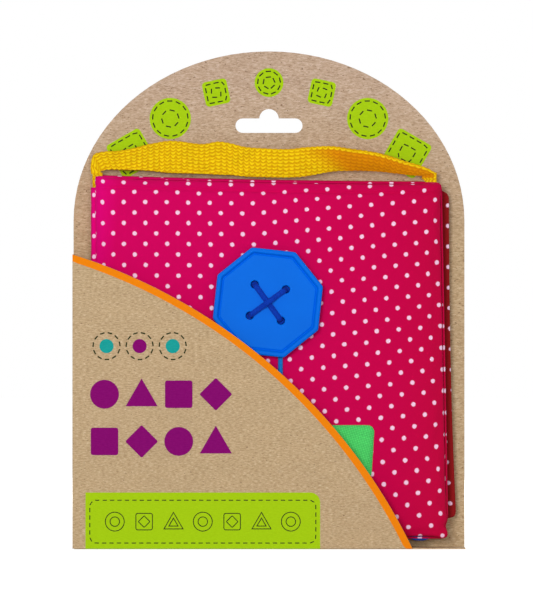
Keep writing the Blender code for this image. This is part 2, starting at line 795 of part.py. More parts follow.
def handle_end(name, left, surface):
    top = HANDLE_AXIS_Z - WEBBING / 2
    outline = rounded_rectangle(left, top - HANDLE_END_LENGTH, left + HANDLE_END_WIDTH, top, WEBBING)
    return piece(name, flat_mesh([outline], WEBBING, REAR_SEAT_Y - WEBBING), surface)


# Button


def button_plate(surface):
    """An octagonal button with a raised rim round a recessed face and four holes."""
    turn = BUTTON_TURN + HALF_TURN / BUTTON_SIDES
    front_y = BUTTON_BACK_Y - BUTTON_THICKNESS
    outer = drum_mesh(BUTTON_X, BUTTON_Z, front_y, BUTTON_BACK_Y, BUTTON_RADIUS, BUTTON_SIDES, turn)
    made = piece("button_plate", outer, surface)
    edge = made.modifiers.new("edge", "BEVEL")
    edge.width = BUTTON_EDGE
    edge.segments = 2
    edge.limit_method = "ANGLE"
    inner_radius = BUTTON_RADIUS - BUTTON_RIM
    start_y = front_y - OVERRUN
    recess = drum_mesh(BUTTON_X, BUTTON_Z, start_y, BUTTON_WEB_Y, inner_radius, BUTTON_SIDES, turn)
    combine(made, recess, "DIFFERENCE", "recess")
    for index, (x, z) in enumerate(button_holes()):
        hole = drum_mesh(x, z, BUTTON_WEB_Y - OVERRUN, BUTTON_BACK_Y + OVERRUN, HOLE_RADIUS, HOLE_STEPS)
        combine(made, hole, "DIFFERENCE", "hole_" + str(index))
    return made


def button_holes():
    corner = HOLE_SPACING / math.sqrt(2)
    return ring_points(BUTTON_X, BUTTON_Z, corner, BUTTON_HOLES, HOLE_TURN + HALF_TURN / BUTTON_HOLES)


def button_lace(name, first, second, layer, surface):
    """One lace across the button: up through a hole, over the face and down through the opposite hole."""
    holes = button_holes()
    start = Vector((holes[first][0], 0, holes[first][1]))
    end = Vector((holes[second][0], 0, holes[second][1]))
    middle = Vector((BUTTON_X, 0, BUTTON_Z))
    run = (end - start).normalized()
    half = BUTTON_LACE / 2
    low_y = BUTTON_WEB_Y - SEAT - half
    high_y = low_y - layer * (BUTTON_LACE + SEAT)
    back_y = BUTTON_BACK_Y + SEAT + half
    shank = SHANK_RADIUS + SEAT
    points = [middle - run * shank + Vector((0, back_y, 0))]
    points.append(start + run * half + Vector((0, back_y, 0)))
    points.append(start + Vector((0, back_y - half, 0)))
    points.append(start + Vector((0, low_y + half, 0)))
    points.append(start + run * half + Vector((0, low_y, 0)))
    points.append(middle - run * 2 * BUTTON_LACE + Vector((0, low_y, 0)))
    points.append(middle - run * BUTTON_LACE + Vector((0, high_y, 0)))
    points.append(middle + run * BUTTON_LACE + Vector((0, high_y, 0)))
    points.append(middle + run * 2 * BUTTON_LACE + Vector((0, low_y, 0)))
    points.append(end - run * half + Vector((0, low_y, 0)))
    points.append(end + Vector((0, low_y + half, 0)))
    points.append(end + Vector((0, back_y - half, 0)))
    points.append(end - run * half + Vector((0, back_y, 0)))
    points.append(middle + run * shank + Vector((0, back_y, 0)))
    return piece(name, tube_mesh(points, BUTTON_LACE), surface, smooth=True)


def button_shank(surface):
    low_y = BUTTON_BACK_Y + SEAT
    high_y = COVER_CROWN_Y - SEAT
    mesh = drum_mesh(BUTTON_X, BUTTON_Z, low_y, high_y, SHANK_RADIUS, SHANK_STEPS)
    return piece("button_shank", mesh, surface, smooth=True)


# Cord loop and green tab


def cord_loop(surface):
    """The light blue cord: up from behind the tab and once round the laces behind the button."""
    y = COVER_CROWN_Y - SEAT - LOOP_CORD / 2
    hole_reach = HOLE_SPACING / math.sqrt(2) + BUTTON_LACE / 2
    radius = hole_reach + 2 * SEAT + LOOP_CORD / 2
    leg_x = BUTTON_X + LOOP_LEAN
    start = -math.acos(LOOP_LEAN / radius) + LOOP_JOIN_TURN
    points = [(leg_x, y, TAB_TOP + SEAT)]
    lowest = BUTTON_Z - radius - LOOP_CORD
    for step in range(1, LOOP_LEG_STEPS + 1):
        points.append((leg_x, y, TAB_TOP + (lowest - TAB_TOP) * step / LOOP_LEG_STEPS))
    for step in range(LOOP_STEPS + 1):
        angle = start + LOOP_SWEEP * step / LOOP_STEPS
        points.append((BUTTON_X + radius * math.cos(angle), y, BUTTON_Z + radius * math.sin(angle)))
    return piece("cord_loop", tube_mesh(points, LOOP_CORD), surface, smooth=True)


def green_tab(surface):
    """A padded tab sewn flat on the cover, whose right edge leans in towards its foot."""
    left = TAB_RIGHT - TAB_WIDTH
    foot = TAB_TOP - TAB_HEIGHT
    leaf = Leaf(left, TAB_RIGHT - TAB_LEAN, TAB_RIGHT, foot, TAB_TOP, TAB_TOP)
    base_y = COVER_CROWN_Y - SEAT
    return padded_solid(
        "green_tab", leaf, base_y, -TAB_THICKNESS, 0, TAB_CROWN_REACH, TAB_FLAT_STEPS, TAB_CORNER, surface
    )


# Dial


def dial(plate_surface, wheel_surface, pin_surface):
    x, z = REAR_LEAF.place(DIAL_PLACE_SHARES)
    bore = DIAL_PIN_RADIUS + RUNNING_GAP
    plate_front = REAR_SEAT_Y - DIAL_PLATE
    wheel_back = plate_front - RUNNING_GAP
    wheel_front = wheel_back - DIAL_WHEEL
    head_back = wheel_front - RUNNING_GAP
    rim = ring_points(x, z, DIAL_PLATE_RADIUS, DIAL_STEPS)
    plate_bore = ring_points(x, z, bore, DIMPLE_STEPS)
    piece("dial_plate", flat_mesh([rim, plate_bore], DIAL_PLATE, plate_front), plate_surface)
    disc = drum_mesh(x, z, wheel_front, wheel_back, DIAL_WHEEL_RADIUS, DIAL_STEPS)
    wheel = piece("dial_wheel", disc, wheel_surface)
    hole = drum_mesh(x, z, wheel_front - OVERRUN, wheel_back + OVERRUN, bore, DIMPLE_STEPS)
    combine(wheel, hole, "DIFFERENCE", "bore")
    start_y = wheel_front - OVERRUN
    floor_y = wheel_front + DIAL_DIMPLE_DEPTH
    for index, (dimple_x, dimple_z) in enumerate(ring_points(x, z, DIAL_DIMPLE_CIRCLE, DIAL_DIMPLES)):
        dimple = drum_mesh(dimple_x, dimple_z, start_y, floor_y, DIAL_DIMPLE_RADIUS, DIMPLE_STEPS)
        combine(wheel, dimple, "DIFFERENCE", "dimple_" + str(index))
    profile = (
        (0, -DIAL_PIN_HEAD),
        (DIAL_PIN_HEAD_RADIUS, -DIAL_PIN_HEAD),
        (DIAL_PIN_HEAD_RADIUS, 0),
        (DIAL_PIN_RADIUS, 0),
        (DIAL_PIN_RADIUS, REAR_SEAT_Y - head_back),
        (0, REAR_SEAT_Y - head_back),
    )
    turned("dial_pin", profile, (x, head_back, z), PIN_STEPS, pin_surface)
    return wheel, (x, wheel_back, z)


# Lacing panel


def eyelet_places():
    x, z = COVER_LEAF.place(LACING_PLACE_SHARES)
    places = []
    for row in range(EYELET_ROWS):
        for side in (-1, 1):
            lift = (row - (EYELET_ROWS - 1) / 2) * EYELET_SPACING_Z
            places.append((x + side * EYELET_SPACING_X / 2, z + lift))
    return places


def lacing_panel(surface):
    """A stiff felt panel with a pocket at its back, where the lace crosses from eyelet to eyelet."""
    x, z = COVER_LEAF.place(LACING_PLACE_SHARES)
    thickness = LACING_FACE + LACING_POCKET
    outline = centred_rectangle(x, z, LACING_WIDTH, LACING_HEIGHT, LACING_CORNER)
    made = piece("lacing_panel", flat_mesh([outline], thickness, COVER_SEAT_Y), surface)
    pocket = centred_rectangle(
        x, z, LACING_WIDTH - 2 * LACING_BORDER, LACING_HEIGHT - 2 * LACING_BORDER, LACING_CORNER / 2
    )
    pocket_mesh = flat_mesh([pocket], LACING_POCKET + OVERRUN, COVER_SEAT_Y - OVERRUN)
    combine(made, pocket_mesh, "DIFFERENCE", "pocket")
    start_y = COVER_SEAT_Y - OVERRUN
    end_y = COVER_SEAT_Y + thickness + OVERRUN
    for index, (hole_x, hole_z) in enumerate(eyelet_places()):
        hole = drum_mesh(hole_x, hole_z, start_y, end_y, EYELET_HOLE, EYELET_STEPS)
        combine(made, hole, "DIFFERENCE", "hole_" + str(index))
    return made


def eyelets(surface):
    """Metal eyelets in the panel's holes, flange to the open page."""
    face_y = COVER_SEAT_Y + LACING_POCKET + LACING_FACE
    made = []
    for index, (x, z) in enumerate(eyelet_places()):
        profile = (
            (EYELET_BORE, SEAT + EYELET_FLANGE_THICKNESS),
            (EYELET_BORE, -LACING_FACE),
            (EYELET_BARREL, -LACING_FACE),
            (EYELET_BARREL, SEAT),
            (EYELET_FLANGE, SEAT),
            (EYELET_FLANGE, SEAT + EYELET_FLANGE_THICKNESS),
        )
        made.append(turned("eyelet_" + str(index + 1), profile, (x, face_y, z), EYELET_STEPS, surface))
    return made


def lace_and_tips(lace_surface, tip_surface):
    """The lace runs diagonally over the face and straight across behind it. Its tails lie on the face."""
    face_y = COVER_SEAT_Y + LACING_POCKET + LACING_FACE
    level = face_y + SEAT + EYELET_FLANGE_THICKNESS + SEAT / 2 + LACE / 2
    other = COVER_SEAT_Y + LACE / 2
    stops = [Vector((x, 0, z)) for x, z in eyelet_places()]
    lower_end = stops[0] - Vector((0, 0, LACE_TAIL))
    upper_end = stops[-1] + Vector((LACE_SWING, 0, -LACE_LONG_TAIL))
    lift = Vector((0, level, 0))
    ends = (lower_end + lift, upper_end + lift)
    points = [ends[0]]
    for before, centre, after in zip([lower_end] + stops, stops, stops[1:] + [upper_end]):
        come = (before - centre).normalized()
        go = (after - centre).normalized()
        points.append(centre + come * LACE_BEND + Vector((0, level, 0)))
        points.append(centre + come * LACE / 4 + Vector((0, level + (other - level) / 4, 0)))
        points.append(centre + go * LACE / 4 + Vector((0, other + (level - other) / 4, 0)))
        points.append(centre + go * LACE_BEND + Vector((0, other, 0)))
        level, other = other, level
    points.append(ends[1])
    made = [piece("lace", tube_mesh(points, LACE, LACE_SIDES), lace_surface, smooth=True)]
    for index, end in enumerate(ends):
        top = end - Vector((0, 0, SEAT))
        foot = top - Vector((0, 0, LACE_TIP_LENGTH))
        tip = tube_mesh([foot, top], 2 * LACE_TIP_RADIUS)
        made.append(piece("lace_tip_" + str(index + 1), tip, tip_surface, smooth=True))
    return made


# Belt and buckle


def belt_frame():
    """Left end, middle height and buckle middle of the belt."""
    x, z = REAR_LEAF.place(BELT_PLACE_SHARES)
    left = x - BELT_LENGTH / 2
    return left, z, left + BUCKLE_PLACE_SHARE * BELT_LENGTH


def belt_strap(surface):
    left, z, _ = belt_frame()
    right = left + BELT_LENGTH
    half = BELT_WIDTH / 2
    outline = [(right, z - half), (right, z + half), (left + half, z + half)]
    outline += [(left, z), (left + half, z - half)]
    holes = []
    for index in range(BELT_HOLES):
        x = left + BELT_TIP_INSET + half + index * BELT_HOLE_SPACING
        holes.append(ring_points(x, z, BELT_HOLE_RADIUS, BELT_HOLE_STEPS))
    return piece("belt_strap", flat_mesh([outline] + holes, BELT, REAR_SEAT_Y - BELT), surface)


def buckle_frame(surface):
    _, z, x = belt_frame()
    back_y = REAR_SEAT_Y - BELT - SEAT
    outer = centred_rectangle(x, z, BUCKLE_LENGTH, BUCKLE_HEIGHT, BUCKLE_CORNER)
    inner = centred_rectangle(
        x, z, BUCKLE_LENGTH - 2 * BUCKLE_BAR, BUCKLE_HEIGHT - 2 * BUCKLE_BAR, BUCKLE_CORNER - BUCKLE_BAR
    )
    mesh = flat_mesh([outer, inner], BUCKLE_THICKNESS, back_y - BUCKLE_THICKNESS)
    return piece("buckle_frame", mesh, surface, smooth=True)


def prong_axis():
    _, z, x = belt_frame()
    y = REAR_SEAT_Y - BELT - SEAT - BUCKLE_THICKNESS / 2
    return x - BUCKLE_LENGTH / 2 + BUCKLE_BAR / 2, y, z


def buckle_prong(surface):
    """The prong lies over the pivot bar, clear of its corners, and its tip rests on the far bar."""
    x, y, z = prong_axis()
    start_y = y - math.hypot(BUCKLE_BAR, BUCKLE_THICKNESS) / 2 - PRONG_SWING_GAP - PRONG_RADIUS
    end_y = y - BUCKLE_THICKNESS / 2 - SEAT - PRONG_RADIUS
    end = x - BUCKLE_BAR / 2 + BUCKLE_LENGTH + PRONG_OVERHANG
    points = [(x - BUCKLE_BAR / 2, start_y, z), (end, end_y, z)]
    return piece("buckle_prong", tube_mesh(points, 2 * PRONG_RADIUS), surface, smooth=True)


def buckle_tab(surface):
    """The short strap that holds the buckle by its pivot bar, notched for the prong."""
    _, z, x = belt_frame()
    right = x - BUCKLE_LENGTH / 2 - SEAT
    left = right - TAB_STRAP_LENGTH
    half = BELT_WIDTH / 2
    notch = PRONG_NOTCH_WIDTH / 2
    notch_left = right - PRONG_NOTCH_DEPTH
    outline = [(left, z - half), (right, z - half), (right, z - notch), (notch_left, z - notch)]
    outline += [(notch_left, z + notch), (right, z + notch), (right, z + half), (left, z + half)]
    back_y = REAR_SEAT_Y - BELT - SEAT
    return piece("buckle_tab", flat_mesh([outline], TAB_STRAP, back_y - TAB_STRAP), surface)


def belt_keeper(surface):
    """A flat loop over the belt, with a leg down to the lining at each side of it."""
    _, z, buckle_x = belt_frame()
    x = buckle_x - BUCKLE_LENGTH / 2 - SEAT - TAB_STRAP_LENGTH - KEEPER_GAP - KEEPER_LENGTH
    half = BELT_WIDTH / 2 + SEAT
    front_y = REAR_SEAT_Y - BELT - SEAT
    low = (x, front_y - KEEPER, z - half - KEEPER)
    high = (x + KEEPER_LENGTH, REAR_SEAT_Y, z + half + KEEPER)
    made = piece("belt_keeper", box_mesh(low, high), surface)
    hollow_low = (x - OVERRUN, front_y, z - half)
    hollow_high = (x + KEEPER_LENGTH + OVERRUN, REAR_SEAT_Y + OVERRUN, z + half)
    combine(made, box_mesh(hollow_low, hollow_high), "DIFFERENCE", "hollow")
    return made


# Side release clip


def clip_places():
    """Mouth of the socket, middle height and the two faces of the clip."""
    x, z = COVER_LEAF.place(CLIP_PLACE_SHARES)
    back_y = COVER_SEAT_Y
    return x, z, back_y, back_y + CLIP_THICKNESS


def clip_socket(surface):
    """A hollow housing, open at its mouth, with a window in each side for the plug's arms."""
    mouth, z, back_y, front_y = clip_places()
    outer_half = CLIP_HEIGHT / 2
    left = mouth - CLIP_LENGTH
    outline = rounded_rectangle(left, z - outer_half, mouth, z + outer_half, CLIP_CORNER / 2)
    made = piece("clip_socket", flat_mesh([outline], CLIP_THICKNESS, back_y), surface)
    half = outer_half - 2 * CLIP_WALL
    cavity_low = (mouth - CLIP_CAVITY_DEPTH, back_y + CLIP_WALL, z - half)
    cavity_high = (mouth + OVERRUN, front_y - CLIP_WALL, z + half)
    combine(made, box_mesh(cavity_low, cavity_high), "DIFFERENCE", "cavity")
    window_right = mouth - CLIP_WINDOW_INSET
    window = box_mesh(
        (window_right - CLIP_WINDOW_LENGTH, back_y + CLIP_WALL, z - outer_half - OVERRUN),
        (window_right, front_y - CLIP_WALL, z + outer_half + OVERRUN),
    )
    combine(made, window, "DIFFERENCE", "windows")
    return made


def clip_plug(surface):
    """The plug: a base outside the mouth, two side arms and a middle tongue inside it."""
    mouth, z, back_y, front_y = clip_places()
    inner_low = back_y + CLIP_WALL + RUNNING_GAP
    inner_high = front_y - CLIP_WALL - RUNNING_GAP
    outer_half = CLIP_HEIGHT / 2
    half = outer_half - 2 * CLIP_WALL - RUNNING_GAP
    base = mouth + RUNNING_GAP
    tip = mouth - PLUG_ARM_LENGTH
    inner_half = half - PLUG_ARM_WIDTH
    tongue = PLUG_TONGUE_WIDTH / 2
    middle_root = base + PLUG_BASE_LENGTH / 2
    outline = [(middle_root, z - half), (middle_root, z + half), (tip, z + half), (tip, z + inner_half)]
    outline += [(base, z + inner_half), (base, z + tongue), (tip, z + tongue), (tip, z - tongue)]
    outline += [(base, z - tongue), (base, z - inner_half), (tip, z - inner_half), (tip, z - half)]
    made = piece("clip_plug", flat_mesh([outline], inner_high - inner_low, inner_low), surface)
    base_end = base + PLUG_BASE_LENGTH
    block = rounded_rectangle(base, z - outer_half, base_end, z + outer_half, CLIP_CORNER / 3)
    combine(made, flat_mesh([block], CLIP_THICKNESS, back_y), "UNION", "base")
    return made


def clip_strap(name, left, surface):
    _, z, back_y, front_y = clip_places()
    middle = (back_y + front_y) / 2
    low = (left, middle - CLIP_STRAP / 2, z - CLIP_STRAP_WIDTH / 2)
    high = (left + CLIP_STRAP_LENGTH, middle + CLIP_STRAP / 2, z + CLIP_STRAP_WIDTH / 2)
    return piece(name, box_mesh(low, high), surface)


def strap_patch(name, left, surface):
    """A cloth patch that holds a strap's end, as thick as it takes to reach down to the lining."""
    _, z, back_y, front_y = clip_places()
    middle = (back_y + front_y) / 2
    half = PATCH_HEIGHT / 2
    outline = rounded_rectangle(left, z - half, left + PATCH_LENGTH, z + half, PATCH)
    return piece(name, flat_mesh([outline], middle + PATCH - back_y, back_y), surface)


def build_pack(kraft):
    back_card(kraft)
    bottom_wall(kraft)
    sleeve = [front_panel(kraft), side_wall(kraft), foot_flap(kraft)]
    carry(hinge_line("sleeve_fold_line", (CARD_LEFT - SCORE_CLEARANCE, BACK_CARD_FRONT_Y, 0)), sleeve)


def build_rear_leaf(surfaces):
    outer_cloth("rear_cloth", REAR_LEAF, REAR_FACE_Y, 1, surfaces["dotted"])
    wadding("rear_wadding", REAR_LEAF, REAR_FACE_Y, 1, surfaces["wadding"])
    lining("rear_lining", REAR_LEAF, REAR_FACE_Y, 1, surfaces["lining"])
    handle_end("handle_end_left", REAR_LEFT, surfaces["webbing"])
    handle_end("handle_end_right", HANDLE_RIGHT - HANDLE_END_WIDTH, surfaces["webbing"])
    belt_strap(surfaces["belt"])
    buckle_frame(surfaces["metal"])
    buckle_tab(surfaces["belt"])
    belt_keeper(surfaces["belt"])
    wheel, middle = dial(surfaces["yellow"], surfaces["red"], surfaces["white"])
    strap = handle_strap(surfaces["webbing"])
    carry(hinge_line("handle_fold_line", (0, HANDLE_AXIS_Y, HANDLE_AXIS_Z)), [strap])
    carry(hinge_line("dial_axis", middle), [wheel])
    carry(hinge_line("prong_axis", prong_axis()), [buckle_prong(surfaces["metal"])])


def build_cover_leaf(surfaces):
    mouth, _, _, _ = clip_places()
    strap_left = mouth - CLIP_LENGTH - SEAT - CLIP_STRAP_LENGTH
    strap_right = mouth + RUNNING_GAP + PLUG_BASE_LENGTH + SEAT
    pieces = [
        outer_cloth("cover_cloth", COVER_LEAF, COVER_FACE_Y, -1, surfaces["dotted"]),
        wadding("cover_wadding", COVER_LEAF, COVER_FACE_Y, -1, surfaces["wadding"]),
        lining("cover_lining", COVER_LEAF, COVER_FACE_Y, -1, surfaces["lining"]),
        green_tab(surfaces["green"]),
        cord_loop(surfaces["cord"]),
        lacing_panel(surfaces["felt"]),
        clip_socket(surfaces["clip"]),
        clip_strap("clip_strap_socket", strap_left, surfaces["strap"]),
        strap_patch("clip_patch_socket", strap_left - SEAT - PATCH_LENGTH, surfaces["green"]),
        strap_patch("clip_patch_plug", strap_right + CLIP_STRAP_LENGTH + SEAT, surfaces["green"]),
    ]
    pieces += eyelets(surfaces["metal"])
    pieces += lace_and_tips(surfaces["lace"], surfaces["white"])
    button = [
        button_plate(surfaces["button"]),
        button_lace("button_lace_under", 1, 3, 0, surfaces["dark_cord"]),
        button_lace("button_lace_over", 0, 2, 1, surfaces["dark_cord"]),
        button_shank(surfaces["dark_cord"]),
    ]
    carry(hinge_line("button_axis", (BUTTON_X, BUTTON_BACK_Y, BUTTON_Z)), button)
    clip_plug(surfaces["clip"])
    clip_strap("clip_strap_plug", strap_right, surfaces["strap"])
    carry(hinge_line("cover_fold_line", (SPINE_X, COVER_FOLD_Y, 0)), pieces)


def main():
    clear_scene()
    make_collections()
    surfaces = {
        "dotted": material("dotted_cotton", (0.66, 0.003, 0.10), 0.9),
        "wadding": material("white_wadding", (0.85, 0.85, 0.82), 1.0),
        "lining": material("blue_lining", (0.012, 0.08, 0.35), 0.9),
        "webbing": material("yellow_webbing", (0.81, 0.53, 0.003), 0.85),
        "green": material("green_cloth", (0.07, 0.60, 0.11), 0.9),
        "button": material("blue_plastic", (0.001, 0.13, 0.68), 0.3),
        "dark_cord": material("dark_blue_cord", (0.002, 0.04, 0.43), 0.8),
        "cord": material("light_blue_cord", (0.007, 0.15, 0.45), 0.8),
        "felt": material("orange_felt", (0.91, 0.24, 0.005), 0.95),
        "lace": material("white_lace", (0.8, 0.8, 0.8), 0.8),
        "metal": material("polished_steel", (0.6, 0.6, 0.62), 0.3, 1.0),
        "yellow": material("yellow_plastic", (0.81, 0.50, 0.003), 0.35),
        "red": material("red_plastic", (0.6, 0.02, 0.02), 0.3),
        "white": material("white_plastic", (0.8, 0.8, 0.8), 0.3),
        "belt": material("brown_leather_cloth", (0.16, 0.06, 0.02), 0.6),
        "clip": material("lime_plastic", (0.25, 0.55, 0.02), 0.4),
        "strap": material("orange_webbing", (0.85, 0.22, 0.01), 0.85),
    }
    build_pack(material("kraft_board", (0.55, 0.40, 0.28), 0.9))
    build_rear_leaf(surfaces)
    build_cover_leaf(surfaces)
    spine = spine_strip(surfaces["dotted"])
    carry(hinge_line("spine_fold_line", (SPINE_X, REAR_FOLD_Y, 0)), [spine])


main()
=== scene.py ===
"""Looks of a cloth busy board in its card pack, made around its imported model.

Metres, +Z up, the front faces -Y.
"""

import contextlib
import json
import math
import random

import bmesh
import bpy
import numpy as np
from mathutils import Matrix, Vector, noise


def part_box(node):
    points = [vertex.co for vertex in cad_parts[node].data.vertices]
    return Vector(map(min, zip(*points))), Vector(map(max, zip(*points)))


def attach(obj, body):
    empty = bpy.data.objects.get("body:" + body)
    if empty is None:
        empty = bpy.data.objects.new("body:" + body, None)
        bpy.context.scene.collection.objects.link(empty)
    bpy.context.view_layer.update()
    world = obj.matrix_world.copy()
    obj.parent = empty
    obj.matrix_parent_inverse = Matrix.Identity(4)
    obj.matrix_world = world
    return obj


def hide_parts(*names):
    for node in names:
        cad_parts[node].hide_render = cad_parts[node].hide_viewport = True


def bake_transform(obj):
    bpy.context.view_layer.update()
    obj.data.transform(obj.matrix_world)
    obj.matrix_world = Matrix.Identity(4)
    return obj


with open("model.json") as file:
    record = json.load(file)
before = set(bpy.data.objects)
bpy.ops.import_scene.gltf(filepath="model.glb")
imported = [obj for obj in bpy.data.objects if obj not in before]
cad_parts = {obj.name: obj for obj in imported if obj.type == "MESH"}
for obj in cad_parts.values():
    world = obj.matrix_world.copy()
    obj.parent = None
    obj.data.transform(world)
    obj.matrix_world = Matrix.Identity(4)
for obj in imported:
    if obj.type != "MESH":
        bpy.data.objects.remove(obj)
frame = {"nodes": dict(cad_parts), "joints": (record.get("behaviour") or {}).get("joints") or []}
bpy.context.view_layer.update()

MM = 0.001
FULL_TURN = 2 * math.pi
FRONT = Vector((0, -1, 0))
CLOTH_MAP = "cloth"  # UV map that runs along a cloth in metres
scene = bpy.context.scene

# Camera: the photograph's frame, 533 by 610 pixels
PHOTO_COLUMNS = 533
PHOTO_ROWS = 610
PIXEL = 0.5102 * MM
FOOT_ROW = 548.5  # row of the pack's foot
MIDDLE_COLUMN = 269.0  # column of the pack's middle
CAMERA_DISTANCE = 5.0
SENSOR_MM = 36.0


def at(column, row):
    """The place on the pack, as x and z, of a point of the photograph's frame."""
    return (column - MIDDLE_COLUMN) * PIXEL, (FOOT_ROW - row) * PIXEL


def make_camera():
    x, z = at(PHOTO_COLUMNS / 2, PHOTO_ROWS / 2)
    lens = bpy.data.cameras.new("camera")
    lens.sensor_width = SENSOR_MM
    lens.lens = SENSOR_MM * CAMERA_DISTANCE / (PHOTO_ROWS * PIXEL)
    made = bpy.data.objects.new("camera", lens)
    made.location = (x, -CAMERA_DISTANCE, z)
    made.rotation_euler = (math.pi / 2, 0, 0)
    scene.collection.objects.link(made)
    scene.camera = made


make_camera()

# Sizes taken from the frame
COVER_LOW, COVER_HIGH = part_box("cover_cloth")
REAR_LOW, REAR_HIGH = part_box("rear_cloth")
CARD_LOW, CARD_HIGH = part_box("back_card")
PANEL_LOW, PANEL_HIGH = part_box("front_panel")
SIDE_LOW, SIDE_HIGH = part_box("side_wall")
BOTTOM_LOW, BOTTOM_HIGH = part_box("bottom_wall")
FLAP_LOW, FLAP_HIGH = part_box("foot_flap")
BUTTON_LOW, BUTTON_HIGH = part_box("button_plate")
SPINE_LOW, SPINE_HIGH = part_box("spine_strip")
CARD = PANEL_HIGH.y - PANEL_LOW.y
SEAT = 0.3 * MM
BUTTON = (BUTTON_LOW + BUTTON_HIGH) / 2
SPINE = (SPINE_LOW + SPINE_HIGH) / 2


# Making materials


def linear(colour):
    """An sRGB hex colour as linear values."""
    channels = [int(colour[start:start + 2], 16) / 255 for start in (0, 2, 4)]
    return (*(c / 12.92 if c <= 0.04045 else ((c + 0.055) / 1.055) ** 2.4 for c in channels), 1.0)


def link(surface, source, socket):
    """Links a socket to another one, or to a node's first output."""
    surface.node_tree.links.new(getattr(source, "outputs", [source])[0], socket)


def add(surface, kind, inputs=None, stops=(), **settings):
    """Adds a node of "kind" or "kind operation". Nodes and sockets among its inputs are linked."""
    kind, _, operation = kind.partition(" ")
    made = surface.node_tree.nodes.new("ShaderNode" + kind)
    if operation:
        made.operation = operation
    for name, value in settings.items():
        setattr(made, name, value)
    for name, value in (inputs or {}).items():
        if isinstance(value, (bpy.types.Node, bpy.types.NodeSocket)):
            link(surface, value, made.inputs[name])
        else:
            made.inputs[name].default_value = value
    while stops and len(made.color_ramp.elements) < len(stops):
        made.color_ramp.elements.new(0.5)
    for element, (place, colour) in zip(made.color_ramp.elements if stops else (), stops):
        element.position = place
        element.color = linear(colour)
    return made


def new_surface(name, settings, cloth=False):
    """A material with these values on its shader's own sockets, and the place that its pattern follows."""
    made = bpy.data.materials.new(name)
    made.use_nodes = True
    for socket, value in settings.items():
        made.node_tree.nodes["Principled BSDF"].inputs[socket].default_value = value
    return made, add(made, "UVMap", uv_map=CLOTH_MAP) if cloth else add(made, "TexCoord").outputs["Object"]


def into_shader(surface, colour, height=None, depth=0.0, strength=1.0, roughness=None):
    """Gives a surface its colour, the bump of a height that is as deep as given, and its roughness."""
    normal = height and add(surface, "Bump", {"Height": height, "Distance": depth, "Strength": strength})
    for socket, source in (("Base Color", colour), ("Normal", normal), ("Roughness", roughness)):
        if source:
            link(surface, source, surface.node_tree.nodes["Principled BSDF"].inputs[socket])
    return surface


def blotches(surface, place, size, detail=2.0, harshness=0.5):
    """Noise whose blotches have the given real size, or sizes along x, y and z."""
    sizes = size if isinstance(size, tuple) else (size, size, size)
    scaled = add(surface, "VectorMath DIVIDE", {0: place, 1: sizes})
    return add(surface, "TexNoise", {"Vector": scaled, "Scale": 1.0, "Detail": detail, "Roughness": harshness})


def threads(surface, place, spacing):
    """Plain weave of the given thread spacing: one small hump over each crossing."""
    turns = add(surface, "VectorMath SCALE", {0: place, "Scale": math.pi / spacing})
    split = add(surface, "SeparateXYZ", {0: add(surface, "VectorMath SINE", {0: turns})})
    crossed = add(surface, "Math MULTIPLY", {0: split.outputs[0], 1: split.outputs[1]})
    return add(surface, "Math ABSOLUTE", {0: crossed})


def tinted(surface, colour, factor, low, high):
    """The colour made darker or lighter as the factor runs from 0 to 1."""
    shade = add(surface, "MapRange", {"Value": factor, "To Min": low, "To Max": high})
    return add(surface, "VectorMath SCALE", {0: colour, "Scale": shade})


def grained(name, settings, size, detail, stops, depth, strength=1.0, harshness=0.5):
    """A surface whose colour and bump follow one noise, from its sunk places to its raised ones."""
    surface, place = new_surface(name, settings)
    grain = blotches(surface, place, size, detail, harshness)
    return into_shader(surface, add(surface, "ValToRGB", {"Fac": grain}, stops), grain, depth, strength)


FIBRE = (1.9 * MM, 1.9 * MM, 0.5 * MM)  # blotches that the board's fibres make
PAINTED_LIGHT_FROM = 150 * MM  # painted light: the board is painted a little paler from here up to the next height, as if lit more brightly towards its top
PAINTED_LIGHT_TO = 240 * MM


def kraft_board():
    """Unbleached kraft board, pressed from wood fibre: matt and brown, with fibres that lie mostly across, and painted
    light that makes it paler towards its top.
    """
    surface, place = new_surface("kraft_board", {"Roughness": 0.92, "Specular IOR Level": 0.12})
    grain = blotches(surface, place, FIBRE, 5.0, 0.72)
    browns = ((0.28, "9A7D63"), (0.44, "BC9F86"), (0.56, "CDB29B"), (0.72, "E4D1C2"))
    cloudy = blotches(surface, place, (16 * MM, 16 * MM, 9 * MM), 1.0)
    colour = tinted(surface, add(surface, "ValToRGB", {"Fac": grain}, browns), cloudy, 0.93, 1.07)
    # painted light: the board's colour is made paler towards its top, where the light is brighter
    height = add(surface, "SeparateXYZ", {0: place}).outputs[2]
    painted_light_share = add(surface, "MapRange", {"Value": height, "From Min": PAINTED_LIGHT_FROM, "From Max": PAINTED_LIGHT_TO})
    pale = add(surface, "ValToRGB", {"Fac": painted_light_share}, ((0.0, "FFFFE8"), (1.0, "FFFFFF")))
    colour = add(surface, "VectorMath MULTIPLY", {0: colour, 1: pale})
    fleck = blotches(surface, place, (1.5 * MM, 1.5 * MM, 0.6 * MM), 1.0)
    dark = add(surface, "MapRange", {"Value": fleck, "From Min": 0.69, "From Max": 0.75})
    mixed = add(surface, "Mix", {0: dark, 6: colour, 7: linear("7A5E42")}, data_type="RGBA")
    return into_shader(surface, mixed.outputs[2], grain, 0.04 * MM, 0.4)


